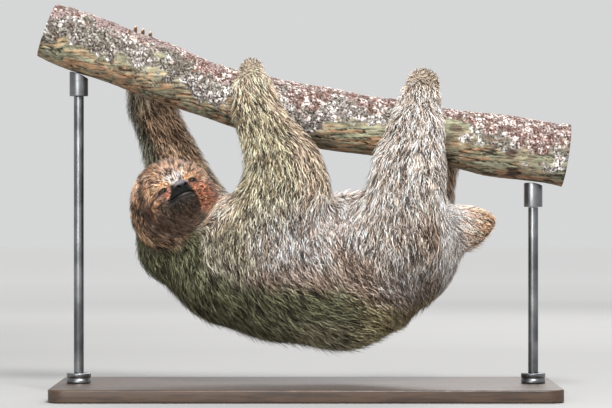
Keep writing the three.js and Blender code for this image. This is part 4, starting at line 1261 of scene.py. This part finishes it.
def lay_locks(roots, steps, swaying, region):
    """Locks walked over the skin from their roots, rising through the coat. Returns the path of each, the
    skin's normal at each of its points, its length, and its clump's own number."""
    count = len(roots)
    on_head = region in ("face", "head")
    least, times = HEAD_LOCKS if on_head else BODY_LOCKS
    depth = np.maximum(-in_batches(flesh_field, roots, np.ones(count)), least)
    length = times * depth * (0.7 + 0.6 * rng.random(count))
    rise = 0.62 + 0.42 * rng.random(count)
    if on_head:
        # The hair round the eyes is shortest.
        out, ahead, over = eye_plane(in_head(roots))
        length *= 0.42 + 0.58 * ease_between(np.sqrt(out**2 + ahead**2 + over**2), 9, 18)
    if region in LIMBS:
        # Over the hands and feet it is short and flat.
        hand = ease_between(link_frame(roots, LIMBS[region])["way"], 0.70, 0.92)
        length *= 1 - 0.45 * hand
        rise *= 1 - 0.35 * hand
    clump, _, _, clump_own = nearest_cell(roots, CLUMP_SIZE, 301)
    sway = (fractal(roots, 30, 311, 2) - 0.5) * swaying + rng.normal(0, 0.15, count)
    wave = rng.normal(0, 0.38, count) * (0.4 if on_head else 1.0)
    _, normal = slope_of(flesh_field, roots, np.zeros(count))
    normal = unit(normal)
    root_normal = normal
    pull = clump - roots
    pull -= (pull * normal).sum(-1)[:, None] * normal
    path, normals = [roots - ROOT_DEPTH * normal], [normal]
    place = roots
    for step in range(steps):
        turned = sway + wave * (1, -1, 1)[step]
        way = lie_of_coat(place)
        way = unit(way - (way * normal).sum(-1)[:, None] * normal)
        way = way * np.cos(turned)[:, None] + np.cross(normal, way) * np.sin(turned)[:, None]
        place = place + way * (length / steps)[:, None] + pull * (0.6 / steps)
        level = rise * RISE[steps][step]
        place = settle(flesh_field, place, 25, level, rounds=1)
        _, slope = slope_of(flesh_field, place, level)
        normal = unit(slope)
        path.append(place)
        normals.append(normal)
    path, normals = np.stack(path, 1), np.stack(normals, 1)
    if on_head:
        # Over the brows and cheeks it lies on the skin, not in it.
        for step in range(1, steps + 1):
            buried = 0.45 + 0.8 * step / steps * rng.random(count) - in_batches(skin_field, path[:, step])
            path[:, step] += np.clip(buried, 0, 6)[:, None] * normals[:, step]
    if region != "face":
        # A few tips stand out all over, and a ragged fringe hangs under the back and tail.
        off_chest = 0.6 * ease_between(root_normal[:, 0], -0.6, -0.9)
        hanging = np.maximum(ease_between(root_normal[:, 2], -0.45, -0.85), off_chest)
        crest = ease_between(root_normal[:, 2], 0.75, 0.92) * bell(roots[:, 0], 68, 26)
        stray = (0.25 if on_head else 0.08) + 0.30 * hanging + 0.3 * crest
        out = np.where(rng.random(count) < stray, rng.random(count), 0.0)
        out *= (2.0 + 5.0 * hanging + 5.0 * crest) * (0.6 if on_head else 1.0)
        path[:, -1] += out[:, None] * (normals[:, -1] + [0.0, 0.0, -0.3])
        path[:, -2] += 0.35 * out[:, None] * normals[:, -2]
    # Hair on the perch lies on the bark, not in it.
    flat = path[:, 1:].reshape(-1, 3)
    gap = BARK_GAP - branch_field(flat)
    flat = flat + unit(flat - branch_axis(flat[:, 0])) * np.maximum(gap, 0)[:, None]
    path[:, 1:] = flat.reshape(count, steps, 3)
    return path, normals, length, clump_own


def lock_colours(path, clump_own, region):
    """The marking a lock lies over, times its own dark, middling or pale tone, times painted shade that
    darkens it from a pale tip down to a dark root. On the head each ring takes its own place's marking,
    elsewhere the middle's."""
    count, rings = path.shape[:2]
    on_head = region in ("face", "head")
    shares, tones = HEAD_HAIRS if on_head else COAT_HAIRS
    roots = at = path[:, 0]
    if on_head:
        # Streaks on the head run away from the nose.
        from_nose = in_head(roots) - NOSE
        turned = np.arctan2(from_nose[:, 2], from_nose[:, 0])
        at = np.stack([36 * turned, 0.4 * np.linalg.norm(from_nose, axis=-1), 0 * turned], -1)
    patch_own = nearest_cell(at, STREAK_SIZES.get(region, STREAK_SIZE), 331)[3]
    chance = np.where(rng.random(count) < (0.8 if on_head else 0.65), patch_own, rng.random(count))
    kind = np.minimum(np.searchsorted(np.cumsum(shares), chance), len(shares) - 1)
    places = path if on_head else path[:, [rings // 2]]
    marking = in_batches(markings, places.reshape(-1, 3)).reshape(count, -1, 3)
    # The palest fur, that of the hands and feet, and the dark throat are more even.
    mean = marking.mean((1, 2))
    even = 0.6 * ease_between(mean, 0.10, 0.05) if on_head else 0.45 * ease_between(mean, 0.52, 0.74)
    if region in LIMBS:
        even = np.maximum(even, 0.35 * ease_between(link_frame(roots, LIMBS[region])["way"], 0.72, 0.90))
    tone = np.array(tones)[kind] ** (1 - even)[:, None]
    shade = tone * ((0.72 + 0.56 * clump_own) * (0.85 + 0.3 * rng.random(count)))[:, None]
    # The rise from a dark root to a pale tip is painted shade, deepest where a lock lies low in the coat.
    along = np.array({3: (0.6, 1.0, 1.15), 4: (0.42, 0.9, 1.1, 1.2)}[rings])
    colour = marking * shade[:, None] * along[None, :, None]
    colour /= np.maximum(colour.max(-1, keepdims=True) / 0.90, 1) ** 0.5
    return np.clip(colour, 0.004, 0.90)


soft_gloss = {"Specular IOR Level": 0.28, "Sheen Weight": 0.02, "Sheen Roughness": 0.4}
coat_finish, tree, shader = new_finish("Sloth hair", soft_gloss)
painted = wire(tree, "VertexColor", {}, layer_name="MarkingsAndPaintedLight")
place = object_place(tree)
strands = spread(tree, noise(tree, place, 1300.0, 2.0), 0.78, 1.22)
tint_by(tree, shader, painted, strands)
roughen(tree, shader, noise(tree, place, 500.0), 0.45, 0.65)
add_bump(tree, shader, strands, 0.15, 0.0002)

# Roots are strewn over the skin's faces, and none on the bare muzzle, the lids or the palms.
corners = skin_points[skin_faces]
spanned = np.cross(corners[:, 2] - corners[:, 0], corners[:, 3] - corners[:, 1])
face_area = 0.5 * np.linalg.norm(spanned, axis=-1)
face_middle, face_normal = corners.mean(1), unit(spanned)
face_region = region_of(face_middle)
q = in_head(face_middle)
out, ahead, over = eye_plane(q)
bald = (muzzle_bare(q) > 0.3) & (np.linalg.norm(q, axis=-1) < 90)
bald |= (np.hypot(out / BARE_LIDS[0], over / BARE_LIDS[1]) < 1) & (ahead > -6)
bald |= (branch_field(face_middle) < 2.2) | (branch_field(face_middle + 5 * face_normal) < 2.5)
face_area[bald] = 0

for name, locks, steps, swaying, slot in COAT_PIECES:
    chosen = np.flatnonzero((face_region == name) & (face_area > 0))
    picked = chosen[strewn(face_area[chosen], locks)]
    a, b = rng.random((2, locks, 1))
    quad = corners[picked]
    roots = (quad[:, 0] * (1 - a) + quad[:, 1] * a) * (1 - b) + (quad[:, 3] * (1 - a) + quad[:, 2] * a) * b
    path, normals, length, clump_own = lay_locks(roots, steps, swaying, name)
    thinnest = FACE_LOCK_WIDTH if name == "face" else LOCK_WIDTHS[0]
    width = np.clip(WIDTH_FOR_LENGTH * length + WIDTH_BASE, thinnest, LOCK_WIDTHS[1])
    # Each ring of a lock is a triangle: two corners on the coat and one standing out of it.
    way = unit(np.gradient(path, axis=1))
    across = unit(np.cross(way, normals))
    over = np.cross(across, way)
    taper = np.array(LOCK_TAPER[steps])
    half = 0.5 * width[:, None] * taper[None, :]
    ring_path = path[:, :-1]
    left = ring_path - across[:, :-1] * half[..., None]
    right = ring_path + across[:, :-1] * half[..., None]
    back = ring_path + over[:, :-1] * (0.8 * half)[..., None]
    rings = np.stack([left, right, back], 2).reshape(locks, steps * 3, 3)
    points = np.concatenate([rings, path[:, -1:]], 1)
    per_lock = steps * 3 + 1
    first = np.arange(locks)[:, None] * per_lock
    k = np.arange(3)
    n = (k + 1) % 3
    tip = np.stack([(steps - 1) * 3 + k, (steps - 1) * 3 + n, np.full(3, steps * 3)], -1)
    ends = np.concatenate([tip, [[2, 1, 0]]])
    quads = (first[:, :, None] + tube_wall(steps, 3)[None]).reshape(-1, 4)
    triangles = (first[:, :, None] + ends[None]).reshape(-1, 3)
    coat = make_piece(f"coat_{name}", points.reshape(-1, 3), quads, triangles)
    colour = lock_colours(path, clump_own, name)
    rows = np.concatenate([np.repeat(np.arange(steps), 3), [steps]])
    paint(coat.data, "MarkingsAndPaintedLight", colour[:, rows].reshape(-1, 3))
    # The bake map: each lock is a small patch at its root's place, across it by side and up it by step.
    root_map = bake_map(roots, name)[:, None, None]
    wall_at = np.array([
        [[s, r], [s + 1, r], [s + 1, r + 1], [s, r + 1]] for r in range(steps - 1) for s in range(3)
    ])
    tip_at = np.array([[[s, steps - 1], [s + 1, steps - 1], [s + 0.5, steps]] for s in range(3)])
    cap_at = np.array([[[1.0, 0.0], [0.5, 0.1], [0.0, 0.0]]])
    layer = coat.data.uv_layers.new(name="OFBake")
    flat_quads = root_map + BAKE_PATCH * (wall_at / (3, steps) - 0.5)
    flat_triangles = root_map + BAKE_PATCH * (np.concatenate([tip_at / (3, steps), cap_at]) - 0.5)
    flat_all = np.concatenate([flat_quads.ravel(), flat_triangles.ravel()])
    layer.data.foreach_set("uv", flat_all.astype(np.float32))
    coat.data.materials.append(coat_finish)
    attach(coat, "root")

# ---- floor, lights and camera --------------------------------------------------------------------------
# A plain pale studio floor, painted paler away from the stand. A soft key hangs above and in front, with a
# weaker fill low on the left and a soft light behind. The camera looks level, at the height of the head.
FLOOR_REACH = 14.0
# The floor's grey by distance from its middle, as a share of its reach.
FLOOR_GREYS = (
    (0.0, 0.30), (0.09, 0.315), (0.14, 0.37), (0.17, 0.44),
    (0.21, 0.59), (0.30, 0.82), (0.43, 0.94), (1.0, 0.985),
)
SKY_TONE = (0.86, 0.865, 0.87, 1.0)
SKY_STRENGTH = 0.78
PIXEL = 1.4  # millimetres to the pixel at the branch
CAMERA_BACK = 4.0
CAMERA_HEIGHT = 0.2688
FRAME_WIDTH = 612

turn = full_turn(96)
reach = np.array([0.02, 0.5, 2.0, 6.0, FLOOR_REACH])[::-1, None] * 1000
rings = np.stack([reach * np.cos(turn), -reach * np.sin(turn), 0 * reach * turn - 0.4], -1)
count, sides = rings.shape[:2]
inner = np.arange(sides) + (count - 1) * sides
floor_piece = make_piece("floor", rings.reshape(-1, 3), tube_wall(count, sides)[:, ::-1], inner[None])
floor_finish, tree, shader = new_finish("Pale floor", {"Specular IOR Level": 0.2, "Roughness": 0.9})
# The floor is painted paler away from the lamps, so that it meets the sky without a line.
away = wire(tree, "VectorMath", {0: object_place(tree)}, operation="LENGTH").outputs["Value"]
away = wire(tree, "MapRange", {"Value": away, "From Max": FLOOR_REACH}).outputs["Result"]
greys = ramp(tree, away, *[(share, (grey, 0.99 * grey, 0.98 * grey)) for share, grey in FLOOR_GREYS])
tree.links.new(greys, shader.inputs["Base Color"])
floor_piece.data.materials.append(floor_finish)

world = bpy.data.worlds.new("Studio")
world.use_nodes = True
world.node_tree.nodes["Background"].inputs["Color"].default_value = SKY_TONE
world.node_tree.nodes["Background"].inputs["Strength"].default_value = SKY_STRENGTH
bpy.context.scene.world = world
bpy.context.scene.view_settings.view_transform = "Standard"


def soft_light(name, place, target, size, power):
    """A square area light at a place, aimed at a target."""
    light = bpy.data.lights.new(name, "AREA")
    light.size = size
    light.energy = power
    lamp = bpy.data.objects.new(name, light)
    lamp.location = place
    lamp.rotation_euler = (Vector(target) - Vector(place)).to_track_quat("-Z", "Y").to_euler()
    bpy.context.scene.collection.objects.link(lamp)


soft_light("key", (0.3, -2.0, 2.3), (0, 0, 0.3), 0.6, 144)
soft_light("fill", (-0.9, -2.6, 0.8), (0, 0, 0.25), 1.2, 38)
soft_light("back", (0.6, 2.0, 2.0), (0, 0, 0.3), 1.2, 55)

view = bpy.data.cameras.new("camera")
view.sensor_width = 36
view.lens = 36 * CAMERA_BACK / (FRAME_WIDTH * PIXEL * MM)
camera = bpy.data.objects.new("camera", view)
camera.location = (0, -CAMERA_BACK, CAMERA_HEIGHT)
camera.rotation_euler = (np.pi / 2, 0, 0)
bpy.context.scene.collection.objects.link(camera)
bpy.context.scene.camera = camera
